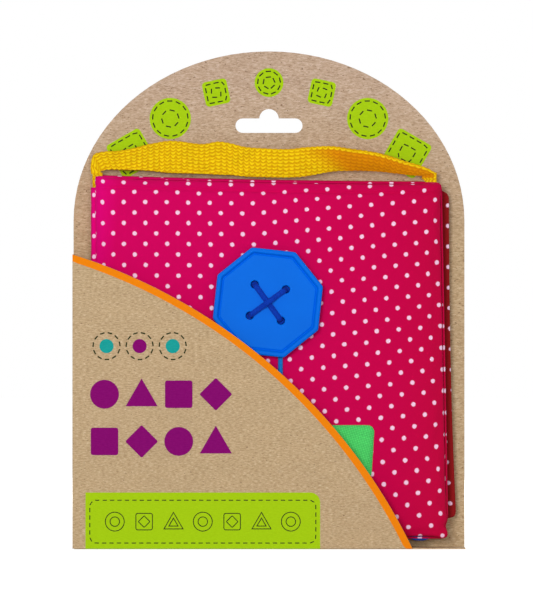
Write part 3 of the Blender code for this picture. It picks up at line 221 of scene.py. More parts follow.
DOT_COLUMN = 10.9 * MM  # pitch of the polka dots along a row
DOT_ROW = 10.5 * MM  # pitch of every second row, the rows between are shifted by half
DOT_RADIUS = 1.04 * MM
DOT_BLEED = 0.22 * MM  # how soft a dot's printed edge is
DOT_WAVER = 0.25 * MM  # how far that edge wavers in and out
PINK_FROM = -90 * MM  # painted light and shade: the pink runs from a lit magenta at the left to a deep shaded red at the right, along the print from here to the next place
PINK_TO = 112 * MM
PINK_SLANT = -0.1  # and the painted shade comes sooner further down, by this much for each length that the print falls
# Painted pinks, from the lit magenta of the leaves' left sides to the shade over their right edges and the rear leaf's
# right strip
PINKS = (
    (0.0, "E8007C"), (0.02, "E40074"), (0.058, "D90062"), (0.473, "D60058"),
    (0.772, "CE004A"), (0.9, "C8043F"), (0.95, "C00836"), (1.0, "94181C"),
)


def dotted_cotton():
    """Plain-weave cotton printed with white polka dots: matt, with a faint sheen and with painted light and shade over
    its pink. The weave is drawn coarser.
    """
    settings = {"Roughness": 0.85, "Specular IOR Level": 0.06, "Sheen Weight": 0.02, "Sheen Roughness": 0.5}
    surface, place = new_surface("dotted_cotton", settings, True)
    cells = add(surface, "VectorMath DIVIDE", {0: place, 1: (DOT_COLUMN, DOT_ROW, 1.0)})
    distances = []
    for shift in (0.5, 1.0):
        moved = add(surface, "VectorMath ADD", {0: cells, 1: (shift, shift, 0)})
        part = add(surface, "VectorMath FRACTION", {0: moved})
        centred = add(surface, "VectorMath SUBTRACT", {0: part, 1: (0.5, 0.5, 0)})
        real = add(surface, "VectorMath MULTIPLY", {0: centred, 1: (DOT_COLUMN, DOT_ROW, 0)})
        distances.append(add(surface, "VectorMath LENGTH", {0: real}).outputs["Value"])
    nearest = add(surface, "Math MINIMUM", {0: distances[0], 1: distances[1]})
    uneven = blotches(surface, place, 1.4 * MM, 1.0)
    offset = add(surface, "Math MULTIPLY_ADD", {0: uneven, 1: 2 * DOT_WAVER, 2: -DOT_WAVER})
    edge = add(surface, "Math ADD", {0: nearest, 1: offset})
    reach = {"From Min": DOT_RADIUS - DOT_BLEED, "From Max": DOT_RADIUS + DOT_BLEED, "To Min": 1.0, "To Max": 0.0}
    dot = add(surface, "MapRange", {"Value": edge, **reach})
    # painted light and shade: the pink's place along the ramp, from the lit left to the shaded right and foot
    across = add(surface, "SeparateXYZ", {0: place})
    fallen = add(surface, "Math MINIMUM", {0: across.outputs[1], 1: 0.0})
    slanted = add(surface, "Math MULTIPLY_ADD", {0: fallen, 1: PINK_SLANT, 2: across.outputs[0]})
    painted_light_to_shade = add(surface, "MapRange", {"Value": slanted, "From Min": PINK_FROM, "From Max": PINK_TO})
    weave = threads(surface, place, 0.45 * MM)
    pink = tinted(surface, add(surface, "ValToRGB", {"Fac": painted_light_to_shade}, PINKS), weave, 0.94, 1.05)
    colour = add(surface, "Mix", {0: dot, 6: pink, 7: linear("FFD4F2")}, data_type="RGBA")
    return into_shader(surface, colour.outputs[2], weave, 0.06 * MM, 0.6)


def woven(name, colours, spacing, depth):
    """Plain-weave cotton in one colour: matt, with its threads showing, some of them thicker than the rest.

    Colours go from the gaps to the threads. The threads are drawn coarser than the real ones so that they show.
    """
    settings = {"Roughness": 0.85, "Specular IOR Level": 0.08, "Sheen Weight": 0.03}
    surface, place = new_surface(name, settings, True)
    weave = threads(surface, place, spacing)
    colour = add(surface, "ValToRGB", {"Fac": weave}, tuple(zip((0.0, 0.35, 1.0), colours)))
    for run in ((22 * MM, 0.7 * MM, 1.0), (0.7 * MM, 22 * MM, 1.0)):
        colour = tinted(surface, colour, blotches(surface, place, run, 1.0), 0.84, 1.16)
    colour = tinted(surface, colour, blotches(surface, place, 14 * MM), 0.92, 1.08)
    return into_shader(surface, colour, weave, depth, 0.8)


# Along the handle's strap, painted shade in a deeper amber covers its twisted inner side from the first place to the
# second
TWIST_START = 104 * MM
TWIST_END = 126 * MM
TWIST_SLANT = 1.3
RIM_FROM = -2.0 * MM  # the painted shade leaves a lit yellow rim along the upper edge: the rim begins and is full at these distances from that edge
RIM_FULL = -1.2 * MM


def webbing(name, colours, pitch, row, depth, inner=None):
    """Woven cotton webbing: rows of small arcs across the strap, bright on the yarns and deep between them.

    A strap that twists is painted in shade, a deeper amber, over its inner side from one place along it on, up to a
    lit rim at its upper edge.
    """
    settings = {"Roughness": 0.8, "Specular IOR Level": 0.08, "Sheen Weight": 0.03}
    surface, place = new_surface(name, settings, True)
    split = add(surface, "SeparateXYZ", {0: place})
    along, across = split.outputs[:2]
    turn = add(surface, "Math SINE", {0: add(surface, "Math MULTIPLY", {0: along, 1: math.pi / pitch})})
    arc = add(surface, "Math ABSOLUTE", {0: turn})
    high = add(surface, "Math MULTIPLY_ADD", {0: arc, 1: 0.45 * row, 2: across})
    uneven = blotches(surface, place, (2.6 * MM, 1.5 * MM, 1.5 * MM), 3.0, 0.6)
    loose = add(surface, "Math MULTIPLY_ADD", {0: uneven, 1: 1.1 * row, 2: high})
    ridge = add(surface, "Math SINE", {0: add(surface, "Math MULTIPLY", {0: loose, 1: FULL_TURN / row})})
    height = add(surface, "MapRange", {"Value": ridge, "From Min": -1.0})
    half = add(surface, "Math MULTIPLY", {0: height, 1: 0.35})
    full = add(surface, "Math MULTIPLY", {0: height, 1: arc})
    mean = add(surface, "Math ADD", {0: full, 1: half}, use_clamp=True)
    places = (0.0, 0.45, 1.0)
    colour = add(surface, "ValToRGB", {"Fac": mean}, tuple(zip(places, colours)))
    # painted shade: the twisted inner side in a deeper amber, with a lit yellow rim left along the upper edge
    if inner:
        deep = add(surface, "ValToRGB", {"Fac": mean}, tuple(zip(places, inner)))
        slant = add(surface, "Math MULTIPLY_ADD", {0: across, 1: TWIST_SLANT, 2: along})
        turned = {"Value": slant, "From Min": TWIST_START, "From Max": TWIST_END}
        rim = {"Value": across, "From Min": RIM_FROM, "From Max": RIM_FULL, "To Min": 1.0, "To Max": 0.0}
        both = [add(surface, "MapRange", inputs, interpolation_type="SMOOTHSTEP") for inputs in (turned, rim)]
        shown = add(surface, "Math MULTIPLY", {0: both[0], 1: both[1]})
        colour = add(surface, "Mix", {0: shown, 6: colour, 7: deep}, data_type="RGBA").outputs[2]
    colour = tinted(surface, colour, blotches(surface, place, (7 * MM, 6 * MM, 9 * MM), 1.0), 0.88, 1.10)
    colour = tinted(surface, colour, blotches(surface, place, 0.7 * MM, 3.0), 0.9, 1.1)
    return into_shader(surface, colour, mean, depth, 0.9)


def moulded(name, colour, deep, roughness, gloss=0.35):
    """Injection-moulded plastic in one colour: smooth, with a soft gloss and a trace of orange peel."""
    surface, place = new_surface(name, {"Roughness": roughness, "Specular IOR Level": gloss})
    cloudy = blotches(surface, place, 25 * MM, 1.0)
    base = add(surface, "ValToRGB", {"Fac": cloudy}, ((0.3, deep), (0.7, colour)))
    return into_shader(surface, base, blotches(surface, place, 0.9 * MM), 0.015 * MM, 0.5)


def nickel():
    """Nickel-plated steel, tumbled before plating: bright, with faint wear that dulls the reflections."""
    surface, place = new_surface("nickel_plate", {"Metallic": 1.0})
    wear = blotches(surface, place, 4 * MM, 3.0)
    dull = add(surface, "MapRange", {"Value": wear, "To Min": 0.16, "To Max": 0.38})
    shine = add(surface, "ValToRGB", {"Fac": wear}, ((0.3, "B9BABD"), (0.7, "D9D9D6")))
    return into_shader(surface, shine, roughness=dull)


def leather_cloth():
    """Imitation leather for the belt: calendered vinyl on cloth, with a pebbled grain and a dull shine."""
    surface, place = new_surface("leather_cloth", {"Roughness": 0.5})
    scaled = add(surface, "VectorMath SCALE", {0: place, "Scale": 1 / (0.9 * MM)})
    pebbles = add(surface, "TexVoronoi", {"Vector": scaled, "Scale": 1.0}, feature="DISTANCE_TO_EDGE")
    browns = ((0.0, "3B1D0E"), (0.12, "6A3A1E"), (0.5, "7B4626"))
    distance = pebbles.outputs["Distance"]
    return into_shader(surface, add(surface, "ValToRGB", {"Fac": distance}, browns), distance, 0.12 * MM, 0.6)


def yarn(name, sunk, raised):
    """Twisted cotton yarn for cords and laces: matt, with the plies darker where they sink in."""
    settings = {"Roughness": 0.8, "Specular IOR Level": 0.1, "Sheen Weight": 0.03}
    stops = ((0.3, sunk), (0.65, raised))
    return grained(name, settings, (0.35 * MM, 0.35 * MM, 1.0 * MM), 3.0, stops, 0.08 * MM)


def offset_ink(name, colour, light):
    """Offset ink on board: flat and opaque, with the board's fibres just showing through."""
    settings = {"Roughness": 0.75, "Specular IOR Level": 0.06}
    return grained(name, settings, FIBRE, 5.0, ((0.35, colour), (0.65, light)), 0.02 * MM, 0.4, 0.72)


KRAFT = kraft_board()
DOTTED = dotted_cotton()
# Polyester wadding: white, matt and cloudy
WADDING = grained(
    "polyester_wadding", {"Roughness": 1.0, "Specular IOR Level": 0.1},
    3 * MM, 5.0, ((0.3, "DEDED8"), (0.7, "F6F6F2")), 0.3 * MM,
)
BLUE_LINING = woven("blue_lining_cotton", ("16347E", "1F47A2", "2C58B8"), 0.5 * MM, 0.06 * MM)
GREEN = woven("green_canvas", ("3CC058", "52DA6A", "66EA80"), 0.85 * MM, 0.12 * MM)
YELLOWS = ("DA9E00", "F0C000", "FFDA10")
# Painted shade for the handle strap's twisted inner side
SHADED_AMBERS = ("D47E00", "E08C00", "E89600")
YELLOW_WEBBING = webbing("yellow_webbing", YELLOWS, 2.9 * MM, 1.8 * MM, 0.14 * MM)
HANDLE_WEBBING = webbing("handle_webbing", YELLOWS, 2.9 * MM, 1.8 * MM, 0.14 * MM, SHADED_AMBERS)
ORANGE_WEBBING = webbing("orange_webbing", ("B8480A", "E2660F", "F28420"), 2.0 * MM, 1.3 * MM, 0.25 * MM)
BUTTON_BLUE = moulded("blue_abs", "0070EA", "006CE4", 0.42, 0.03)
YELLOW_ABS = moulded("yellow_abs", "F2BE10", "E8B20C", 0.3)
RED_ABS = moulded("red_abs", "D3211F", "C51A19", 0.28)
WHITE_ABS = moulded("white_acetal", "F2F1EC", "E6E5DF", 0.35)
LIME_ABS = moulded("lime_acetal", "9CC61E", "8DB916", 0.42)
DARK_CORD = yarn("dark_blue_yarn", "032A94", "0740BE")
LIGHT_CORD = yarn("light_blue_yarn", "0A64B4", "1A88DE")
WHITE_YARN = yarn("white_yarn", "D8D8D4", "F7F7F4")
PINK_THREAD = yarn("pink_thread", "B00844", "E03474")
NICKEL = nickel()
LEATHER = leather_cloth()
# Stiff pressed felt: no weave, but short fibres in all directions over soft blotches
FELT = grained(
    "pressed_felt", {"Roughness": 0.95, "Specular IOR Level": 0.08, "Sheen Weight": 0.08},
    0.5 * MM, 6.0, ((0.3, "D8690C"), (0.5, "EE8212"), (0.7, "FA9A2C")), 0.12 * MM, 0.7,
)
ORANGE_INK = offset_ink("orange_ink", "F58404", "F88C0E")
LIME_INK = offset_ink("lime_ink", "A6CE0C", "AED614")
DARK_INK = offset_ink("dark_ink", "2A3016", "353B20")
PLUM_INK = offset_ink("plum_ink", "82006A", "8C0B73")
TEAL_INK = offset_ink("teal_ink", "149C96", "22A8A2")


# Making pieces


def new_piece(name, mesh, surface, body, replaced=()):
    """One shown piece: its mesh, its material, the body it rides on and the nodes it stands for."""
    made = bpy.data.objects.new(name, mesh)
    scene.collection.objects.link(made)
    mesh.materials.clear()
    mesh.materials.append(surface)
    if body:
        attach(made, body)
    if replaced:
        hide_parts(*replaced)
    return made


def mesh_of(name, points, faces):
    mesh = bpy.data.meshes.new(name)
    mesh.from_pydata([tuple(point) for point in points], [], faces)
    mesh.validate()
    mesh.shade_smooth()
    return mesh


def modify(thing, kind, **settings):
    """Puts a modifier with its settings on an object."""
    made = thing.modifiers.new(kind.lower(), kind)
    for name, value in settings.items():
        setattr(made, name, value)


def thicken(thing, thickness, offset=0.0):
    modify(thing, "SOLIDIFY", thickness=thickness, offset=offset, use_even_offset=False)


def subdivide(thing, levels):
    modify(thing, "SUBSURF", levels=levels, render_levels=levels)


def weld(thing):
    modify(thing, "WELD", merge_threshold=0.001 * MM)


def soften_edges(thing, width, segments):
    modify(thing, "BEVEL", width=width, segments=segments, limit_method="ANGLE", angle_limit=math.radians(35))


def flatten(thing):
    """Keeps large flat faces looking flat, so that only the narrow faces at the edges look round."""
    modify(thing, "WEIGHTED_NORMAL", weight=60)


def settled(thing):
    """Leaves an object's mesh as its modifiers make it. The modifiers go."""
    bpy.context.view_layer.update()
    seen = thing.evaluated_get(bpy.context.evaluated_depsgraph_get())
    mesh = bpy.data.meshes.new_from_object(seen)
    thing.modifiers.clear()
    thing.data = mesh


def give_map(mesh, places):
    """Puts the cloth map on a mesh: a pair in metres for each vertex, or a rule that gives it from its point."""
    if callable(places):
        places = [places(point.co) for point in mesh.vertices]
    layer = mesh.uv_layers.new(name=CLOTH_MAP)
    for loop in mesh.loops:
        layer.data[loop.index].uv = places[loop.vertex_index]


def flat_place(point):
    """The cloth map of a small flat piece, as seen from the front."""
    return point.x, point.z


@contextlib.contextmanager
def editing(mesh):
    """Opens a mesh for bmesh steps and puts the result back."""
    work = bmesh.new()
    work.from_mesh(mesh)
    yield work
    work.to_mesh(mesh)
    work.free()


def turn_outward(mesh, merge=0.0):
    """Turns all faces outward. Points that lie together are joined first."""
    with editing(mesh) as work:
        if merge:
            bmesh.ops.remove_doubles(work, verts=work.verts, dist=merge)
        bmesh.ops.recalc_face_normals(work, faces=work.faces)


def grid_faces(rows, columns):
    corners = [row * columns + column for row in range(rows - 1) for column in range(columns - 1)]
    return [(corner, corner + 1, corner + columns + 1, corner + columns) for corner in corners]


def grid_mesh(name, rows, columns, place):
    """A mesh over a grid, whose rule gives a point from its shares of the way across and up."""
    points = [place(column / (columns - 1), row / (rows - 1)) for row in range(rows) for column in range(columns)]
    return mesh_of(name, points, grid_faces(rows, columns))


def tube_faces(rings, sides, first=0):
    """Faces between rings of points, and one that closes each end."""
    last = first + (rings - 1) * sides
    faces = [
        (low + step, low + (step + 1) % sides, low + sides + (step + 1) % sides, low + sides + step)
        for low in range(first, last, sides)
        for step in range(sides)
    ]
    return faces + [tuple(reversed(range(first, first + sides))), tuple(range(last, last + sides))]


def hermite(start, end, slope_in, slope_out, part):
    """A point of the smooth curve between two points with these slopes."""
    cube = part**3
    square = part**2
    return (
        (2 * cube - 3 * square + 1) * start
        + (3 * square - 2 * cube) * end
        + (cube - 2 * square + part) * slope_in
        + (cube - square) * slope_out
    )


def hills(x, seed, z, size, height):
    """How high soft hills of this size and height are at a place."""
    return noise.noise(Vector((x / size, seed, z / size))) * height


# Card pack


def dress(name, surface, rounding, segments=2):
    """Gives a node of the frame its finish and takes the sharpness off its edges."""
    node = frame["nodes"][name]
    node.data.materials.clear()
    node.data.materials.append(surface)
    node.data.shade_smooth()
    weld(node)
    soften_edges(node, rounding, segments)
    flatten(node)


FOLD_RINGS = 7


def fold_strip(name, inner, turn, low, high, upright, body):
    """A rounded fold: a quarter tube of board about the inner corner, from one panel's edge to the next."""
    points = []
    for step in range(FOLD_RINGS):
        angle = turn + step / (FOLD_RINGS - 1) * math.pi / 2
        for radius, end in ((SEAT * 0.2, low), (SEAT * 0.2, high), (CARD, high), (CARD, low)):
            corner = (inner[0] + radius * math.cos(angle), inner[1] + radius * math.sin(angle))
            points.append((*corner, end) if upright else (end, *corner))
    mesh = mesh_of(name, points, tube_faces(FOLD_RINGS, 4))
    turn_outward(mesh)
    mesh.set_sharp_from_angle(angle=math.radians(40))
    return new_piece(name, mesh, KRAFT, body)


def card_pack():
    for name in ("back_card", "bottom_wall", "front_panel", "side_wall", "foot_flap"):
        dress(name, KRAFT, 0.08 * MM, 1)
    front_corner = (SIDE_HIGH.x, SIDE_LOW.y)
    side_corner = (SIDE_HIGH.x, SIDE_HIGH.y)
    foot_corner = (BOTTOM_HIGH.y, BOTTOM_HIGH.z)
    flap_corner = (FLAP_LOW.y, FLAP_HIGH.z)
    fold_strip("front_fold", front_corner, math.pi, PANEL_LOW.z, SIDE_HIGH.z - SEAT, True, "sleeve")
    fold_strip("foot_fold", foot_corner, -math.pi / 2, BOTTOM_LOW.x, CARD_HIGH.x, False, "card")
    fold_strip("flap_fold", flap_corner, math.pi, FLAP_LOW.x, FLAP_HIGH.x, False, "sleeve")
    side = fold_strip("side_fold", side_corner, math.pi / 2, SIDE_LOW.z, SIDE_HIGH.z, True, None)
    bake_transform(side)


INK_FILM = 0.04 * MM  # how far the ink stands proud, thick enough to show
PANEL_FACE = PANEL_LOW.y
CARD_FACE = CARD_LOW.y


def ink(name, outlines, face_y, surface, body, layer=1):
    """Printed shapes as thin films on the board. Each outline is a list of (x, z)."""
    points = [(x, face_y - INK_FILM * layer, z) for outline in outlines for x, z in outline]
    faces = []
    first = 0
    for outline in outlines:
        faces.append(tuple(range(first, first + len(outline))))
        first += len(outline)
    mesh = mesh_of(name, points, faces)
    with editing(mesh) as work:
        for face in work.faces:
            if face.normal.y > 0:
                face.normal_flip()
        bmesh.ops.triangulate(work, faces=work.faces)
    mesh.shade_flat()
    thicken(new_piece(name, mesh, surface, body), INK_FILM * 0.9, -1.0)


def disc(x, z, radius, steps=32, turn=0.0):
    angles = [turn + FULL_TURN * step / steps for step in range(steps)]
    return [(x + radius * math.cos(angle), z + radius * math.sin(angle)) for angle in angles]


def soft_square(x, z, half_width, half_height, corner, turn=0.0, steps=6):
    """A rectangle with round corners, turned about its middle."""
    points = []
    for quarter, (side_x, side_z) in enumerate(((1, -1), (1, 1), (-1, 1), (-1, -1))):
        for step in range(steps + 1):
            angle = (quarter - 1 + step / steps) * math.pi / 2
            flat_x = side_x * (half_width - corner) + corner * math.cos(angle)
            flat_z = side_z * (half_height - corner) + corner * math.sin(angle)
            points.append((
                x + flat_x * math.cos(turn) - flat_z * math.sin(turn),
                z + flat_x * math.sin(turn) + flat_z * math.cos(turn),
            ))
    return points


STITCH = (2.7 * MM, 1.6 * MM, 0.65 * MM)  # a printed stitch's length, the gap after it and its width


def dashes(path, dash, gap, width):
    """Short bars along a closed path, one outline for each dash."""
    line = [Vector(place) for place in path + path[:1]]
    lengths = [0.0]
    for start, end in zip(line, line[1:]):
        lengths.append(lengths[-1] + (end - start).length)
    count = max(round(lengths[-1] / (dash + gap)), 1)
    step = lengths[-1] / count
    bars = []
    for index in range(count):
        ends = []
        for place in (index * step, index * step + dash):
            place = min(place, lengths[-1])
            segment = max(i for i in range(len(line) - 1) if lengths[i] <= place)
            part = (place - lengths[segment]) / max(lengths[segment + 1] - lengths[segment], 1e-9)
            ends.append(line[segment].lerp(line[segment + 1], part))
        side = (ends[1] - ends[0]).normalized() * width / 2
        side = Vector((-side.y, side.x))
        bars.append([tuple(ends[0] - side), tuple(ends[1] - side), tuple(ends[1] + side), tuple(ends[0] + side)])
    return bars


def outline_strip(path, width):
    """A closed line of even width along an outline, as one small four-sided outline for each of its sides."""
    corners = [Vector(place) for place in path]
    edges = []
    for index, place in enumerate(corners):
        before = (place - corners[index - 1]).normalized()
        after = (corners[(index + 1) % len(corners)] - place).normalized()
        mitre = Vector((-(before + after).y, (before + after).x)).normalized()
        reach = width / 2 / max(mitre.dot(Vector((-before.y, before.x))), 0.4)
        edges.append((tuple(place - mitre * reach), tuple(place + mitre * reach)))
    pairs = zip(edges, edges[1:] + edges[:1])
    return [[outer, next_outer, next_inner, inner] for (outer, inner), (next_outer, next_inner) in pairs]


PANEL_RADIUS = 288 * MM  # radius of the front's curved edge
BAND_WIDTH = 3.6 * MM


def curve_points(inset, steps=64):
    """Points of the front's curved edge, drawn in by the inset."""
    start = Vector((PANEL_LOW.x, PANEL_HIGH.z))
    end = Vector((PANEL_HIGH.x, PANEL_LOW.z))
    chord = end - start
    inward = Vector((chord.y, -chord.x)).normalized()
    middle = (start + end) / 2 + inward * math.sqrt(PANEL_RADIUS**2 - (chord.length / 2) ** 2)
    first = math.atan2(start.y - middle.y, start.x - middle.x)
    last = math.atan2(end.y - middle.y, end.x - middle.x)
    angles = [first + (last - first) * step / steps for step in range(steps + 1)]
    radius = PANEL_RADIUS - inset
    return [(middle.x + radius * math.cos(angle), middle.y + radius * math.sin(angle)) for angle in angles]


def orange_edging():
    """The plain orange band along the front's curved edge."""
    outer = curve_points(0.05 * MM)
    inner = curve_points(BAND_WIDTH)
    strips = []
    for corners in zip(outer, outer[1:], inner[1:], inner):
        strips.append([(max(x, PANEL_LOW.x), max(z, PANEL_LOW.z)) for x, z in corners])
    ink("orange_edging", strips, PANEL_FACE, ORANGE_INK, "sleeve")


# Stitched patches on the arch: kind, column and row of the photograph's frame, size and turn in degrees
ARCH_PATCHES = (
    ("disc", 269, 82, 7.4, 0),
    ("square", 216, 92, 6.4, 12),
    ("square", 322, 92, 6.4, -12),
    ("disc", 170, 118, 10.6, 0),
    ("disc", 368, 118, 10.6, 0),
    ("square", 131, 153, 9.8, 30),
    ("square", 407, 153, 9.8, -30),
)
SEAM_INSET = 1.5 * MM  # of a patch's outer seam from its edge


def arch_prints():
    """Lime patches with dashed stitches round the arch: plain discs and squares."""
    fills = []
    seams = []
    for kind, column, row, size, turn in ARCH_PATCHES:
        x, z = at(column, row)
        size = size * MM
        angle = math.radians(turn)
        if kind == "disc":
            fills.append(disc(x, z, size))
            lines = [disc(x, z, radius) for radius in (size - SEAM_INSET, size * 0.42)]
        else:
            fills.append(soft_square(x, z, size, size, 2 * MM, angle))
            lines = [soft_square(x, z, half, half, half * 0.2, angle) for half in (size - SEAM_INSET, size * 0.38)]
        for line in lines:
            seams += dashes(line, *STITCH)
    ink("arch_patches", fills, CARD_FACE, LIME_INK, "card")
    ink("arch_stitches", seams, CARD_FACE, DARK_INK, "card", 2)


def plain_shape(kind, x, z, size):
    """A disc, a triangle, a square or a square on its corner, by its number."""
    if kind == 0:
        return disc(x, z, size * 1.05, 36)
    if kind == 1:
        return disc(x, z - size * 0.2, size * 1.35, 3, math.pi / 2)
    if kind == 2:
        return soft_square(x, z, size, size, 1.2 * MM)
    return soft_square(x, z, size * 0.85, size * 0.85, 0.8 * MM, math.pi / 4)


def front_prints():
    """Generic print on the front: dashed rings with coloured dots, and two rows of plum shapes."""
    rings = []
    dots = {"teal": [], "plum": []}
    for index, colour in enumerate(("teal", "plum", "teal")):
        x, z = at(107 + 33 * index, 346)
        rings += dashes(disc(x, z, 6.9 * MM, 48), 2.4 * MM, 1.4 * MM, 0.7 * MM)
        dots[colour].append(disc(x, z, 3.6 * MM, 36))
    for line, row in enumerate((394, 441)):
        for index in range(4):
            dots["plum"].append(plain_shape((index + 2 * line) % 4, *at(105 + 37 * index, row), 7.0 * MM))
    ink("ring_stitches", rings, PANEL_FACE, DARK_INK, "sleeve")
    ink("teal_dots", dots["teal"], PANEL_FACE, TEAL_INK, "sleeve")
    ink("plum_shapes", dots["plum"], PANEL_FACE, PLUM_INK, "sleeve")


def lime_strip():
    """The lime strip at the foot of the front, with its dashed seam and seven plain outlines."""
    left, top = at(86, 492)
    right, foot = at(320, 548)
    corner = 5 * MM
    outline = [(left, foot), (right, foot)]
    for step in range(9):
        angle = step / 8 * math.pi / 2
        outline.append((right - corner + corner * math.cos(angle), top - corner + corner * math.sin(angle)))
    outline.append((left, top))
    ink("lime_strip", [outline], PANEL_FACE, LIME_INK, "sleeve")

    middle_z = (top + foot) / 2 - 0.5 * MM
    half_width = (right - left) / 2 - 2.2 * MM
    half_height = (top - foot) / 2 - 3.4 * MM
    seam = soft_square((left + right) / 2, middle_z, half_width, half_height, 3 * MM)
    marks = dashes(seam, 2.2 * MM, 1.6 * MM, 0.5 * MM)
    for index in range(7):
        x = left + (right - left) * (index + 1) / 8
        outlines = (
            [disc(x, middle_z, 4.8 * MM, 48), disc(x, middle_z, 2.4 * MM, 36)],
            [
                soft_square(x, middle_z, 4.2 * MM, 4.2 * MM, 1.0 * MM),
                soft_square(x, middle_z, 2.1 * MM, 2.1 * MM, 0.4 * MM, math.pi / 4),
            ],
            [disc(x, middle_z - 0.9 * MM, radius, 3, math.pi / 2) for radius in (5.6 * MM, 2.7 * MM)],
        )[index % 3]
        for outline in outlines:
            marks += outline_strip(outline, 0.45 * MM)
    ink("strip_marks", marks, PANEL_FACE, DARK_INK, "sleeve", 2)


# Padded leaves

DRAW_REACH = 12 * MM  # how far a folded corner draws in its leaf's foot and top
CORNER_FLAT = 4.8 * MM  # how far the folded corner's foot runs level
LEAF_SWELL = 0.6 * MM  # how far the filled leaves swell out at the right
LEAF_CORNER = 1.8 * MM
TOP_RISE = 3.3 * MM  # how much higher a leaf's top is at the left


def ease(part):
    """Rises softly from 0 to 1."""
    part = min(max(part, 0), 1)
    return part * part * (3 - 2 * part)


def rounded(x, z, half_x, half_z, corner):
    """A point near a corner, drawn in onto an arc. All counts from the middle, and other points give None."""
    over_x = abs(x) - (half_x - corner)
    over_z = abs(z) - (half_z - corner)
    if over_x <= 0 or over_z <= 0:
        return None
    pull = max(over_x, over_z) / math.hypot(over_x, over_z)
    return math.copysign(half_x - corner + over_x * pull, x), math.copysign(half_z - corner + over_z * pull, z)


class Leaf:
    """Outline of one leaf, from the box of its cloth: a leaning right edge and a top that rises to the left."""

    def __init__(self, low, high, spread, swell=0.0, bow=1.0, top_draw=0.0, foot_draw=0.0):
        self.left = low.x - swell
        self.right_foot = high.x + LEAF_SWELL
        self.right_top = high.x + LEAF_SWELL - spread
        self.bow = bow
        self.foot = low.z
        self.top_left = high.z
        self.top_right = high.z - TOP_RISE
        self.top_draw = top_draw
        self.foot_draw = foot_draw
        self.width = self.right_top - self.left
        self.height = self.top_right - self.foot

    def warp(self, x, z):
        """Where a point of the leaf's upright rectangle lies."""
        across = x / self.width
        up = z / self.height
        lean = 1 - max(1 - up, 0) ** self.bow
        right = self.right_foot + lean * (self.right_top - self.right_foot)
        top = self.top_at(across)
        top -= self.top_draw * ease(1 - (1 - across) * self.width / DRAW_REACH) ** 0.7
        foot = self.foot_at(across)
        return self.left + across * (right - self.left), foot + up * (top - foot)

    def warp_round(self, x, z):
        """The same, with the rectangle's corners rounded."""
        half_x, half_z = self.width / 2, self.height / 2
        corner = rounded(x - half_x, z - half_z, half_x, half_z, LEAF_CORNER)
        if corner:
            x, z = half_x + corner[0], half_z + corner[1]
        return self.warp(x, z)

    def top_at(self, across):
        return self.top_right + (1 - across) ** 2 * (self.top_left - self.top_right)

    def foot_at(self, across):
        """Height of the foot, which is drawn up where the leaf's right corner is folded in."""
        inward = (1 - across) * self.width
        return self.foot + self.foot_draw * ease((DRAW_REACH - inward) / (DRAW_REACH - CORNER_FLAT))


COVER = Leaf(COVER_LOW, COVER_HIGH, 3.4 * MM, swell=1.2 * MM)
REAR = Leaf(REAR_LOW, REAR_HIGH, 3.7 * MM, bow=2.2, top_draw=5.8 * MM, foot_draw=10.6 * MM)
CROWN_REACH = 20 * MM
RING_STEP = 0.25 * MM
FLAT_CELLS = 56
# The pad's section from its seam inward, as shares of the reach and of the thickness
INSET_SHARES = (0.06, 0.0, 0.07, 0.25, 0.50, 1.0)
RISE_SHARES = (0.0, 0.40, 0.68, 0.80, 0.93, 1.0)
SECTION_STEPS = 16
ROUNDING_PASSES = 24


def pad_section():
    """The section as many small steps, rounded where its straight runs meet."""
    dense = np.linspace(0, len(INSET_SHARES) - 1, 4 * SECTION_STEPS + 1)
    inset = np.interp(dense, range(len(INSET_SHARES)), INSET_SHARES)
    rise = np.interp(dense, range(len(RISE_SHARES)), RISE_SHARES)
    for values in (inset, rise):
        for _ in range(ROUNDING_PASSES):
            values[1:-1] = (values[:-2] + values[1:-1] + values[2:]) / 3
    return list(zip(inset[::4], rise[::4]))


SECTION = pad_section()
RINGS = len(SECTION) - 1
LAST = 2 * RINGS + FLAT_CELLS  # number of a leaf's last row and column


def ring_places():
    """How far along a side each ring's line lies, so that no two lines meet."""
    places = []
    for inset, _ in SECTION:
        places.append(max(inset * CROWN_REACH, places[-1] + RING_STEP if places else 0.0))
    return places


RING_PLACES = ring_places()


def along_side(index, length):
    """Distance along a side of one line of the grid."""
    if index > LAST - RINGS:
        return length - along_side(LAST - index, length)
    if index <= RINGS:
        return RING_PLACES[index]
    return CROWN_REACH + (length - 2 * CROWN_REACH) * (index - RINGS) / FLAT_CELLS


def side_lengths(depth):
    """The cloth that each ring takes up beyond what shows from the front."""
    spare = [0.0]
    for (inset, rise), (next_inset, next_rise) in zip(SECTION[-2::-1], SECTION[:0:-1]):
        flat = (next_inset - inset) * CROWN_REACH
        spare.append(spare[-1] + math.hypot(flat, (next_rise - rise) * depth) - flat)
    return spare[::-1]


def leaf_points(leaf, seam_y, depth):
    """A grid of points over one leaf's outer side, from seam to crown, and their places in the cloth."""
    spare = side_lengths(abs(depth))
    points = []
    places = []
    for row in range(LAST + 1):
        for column in range(LAST + 1):
            ring = min(column, LAST - column, row, LAST - row, RINGS)
            inset, rise = SECTION[ring]
            inset *= CROWN_REACH
            x = {column: inset, LAST - column: leaf.width - inset}.get(ring, along_side(column, leaf.width))
            z = {row: inset, LAST - row: leaf.height - inset}.get(ring, along_side(row, leaf.height))
            x, z = leaf.warp_round(x, z)
            side_x = {column: -spare[ring], LAST - column: spare[ring]}.get(ring, 0.0)
            side_z = {row: -spare[ring], LAST - row: spare[ring]}.get(ring, 0.0)
            places.append((x + side_x, z + side_z))
            points.append(Vector((x, seam_y + rise * depth, z)))
    return points, places


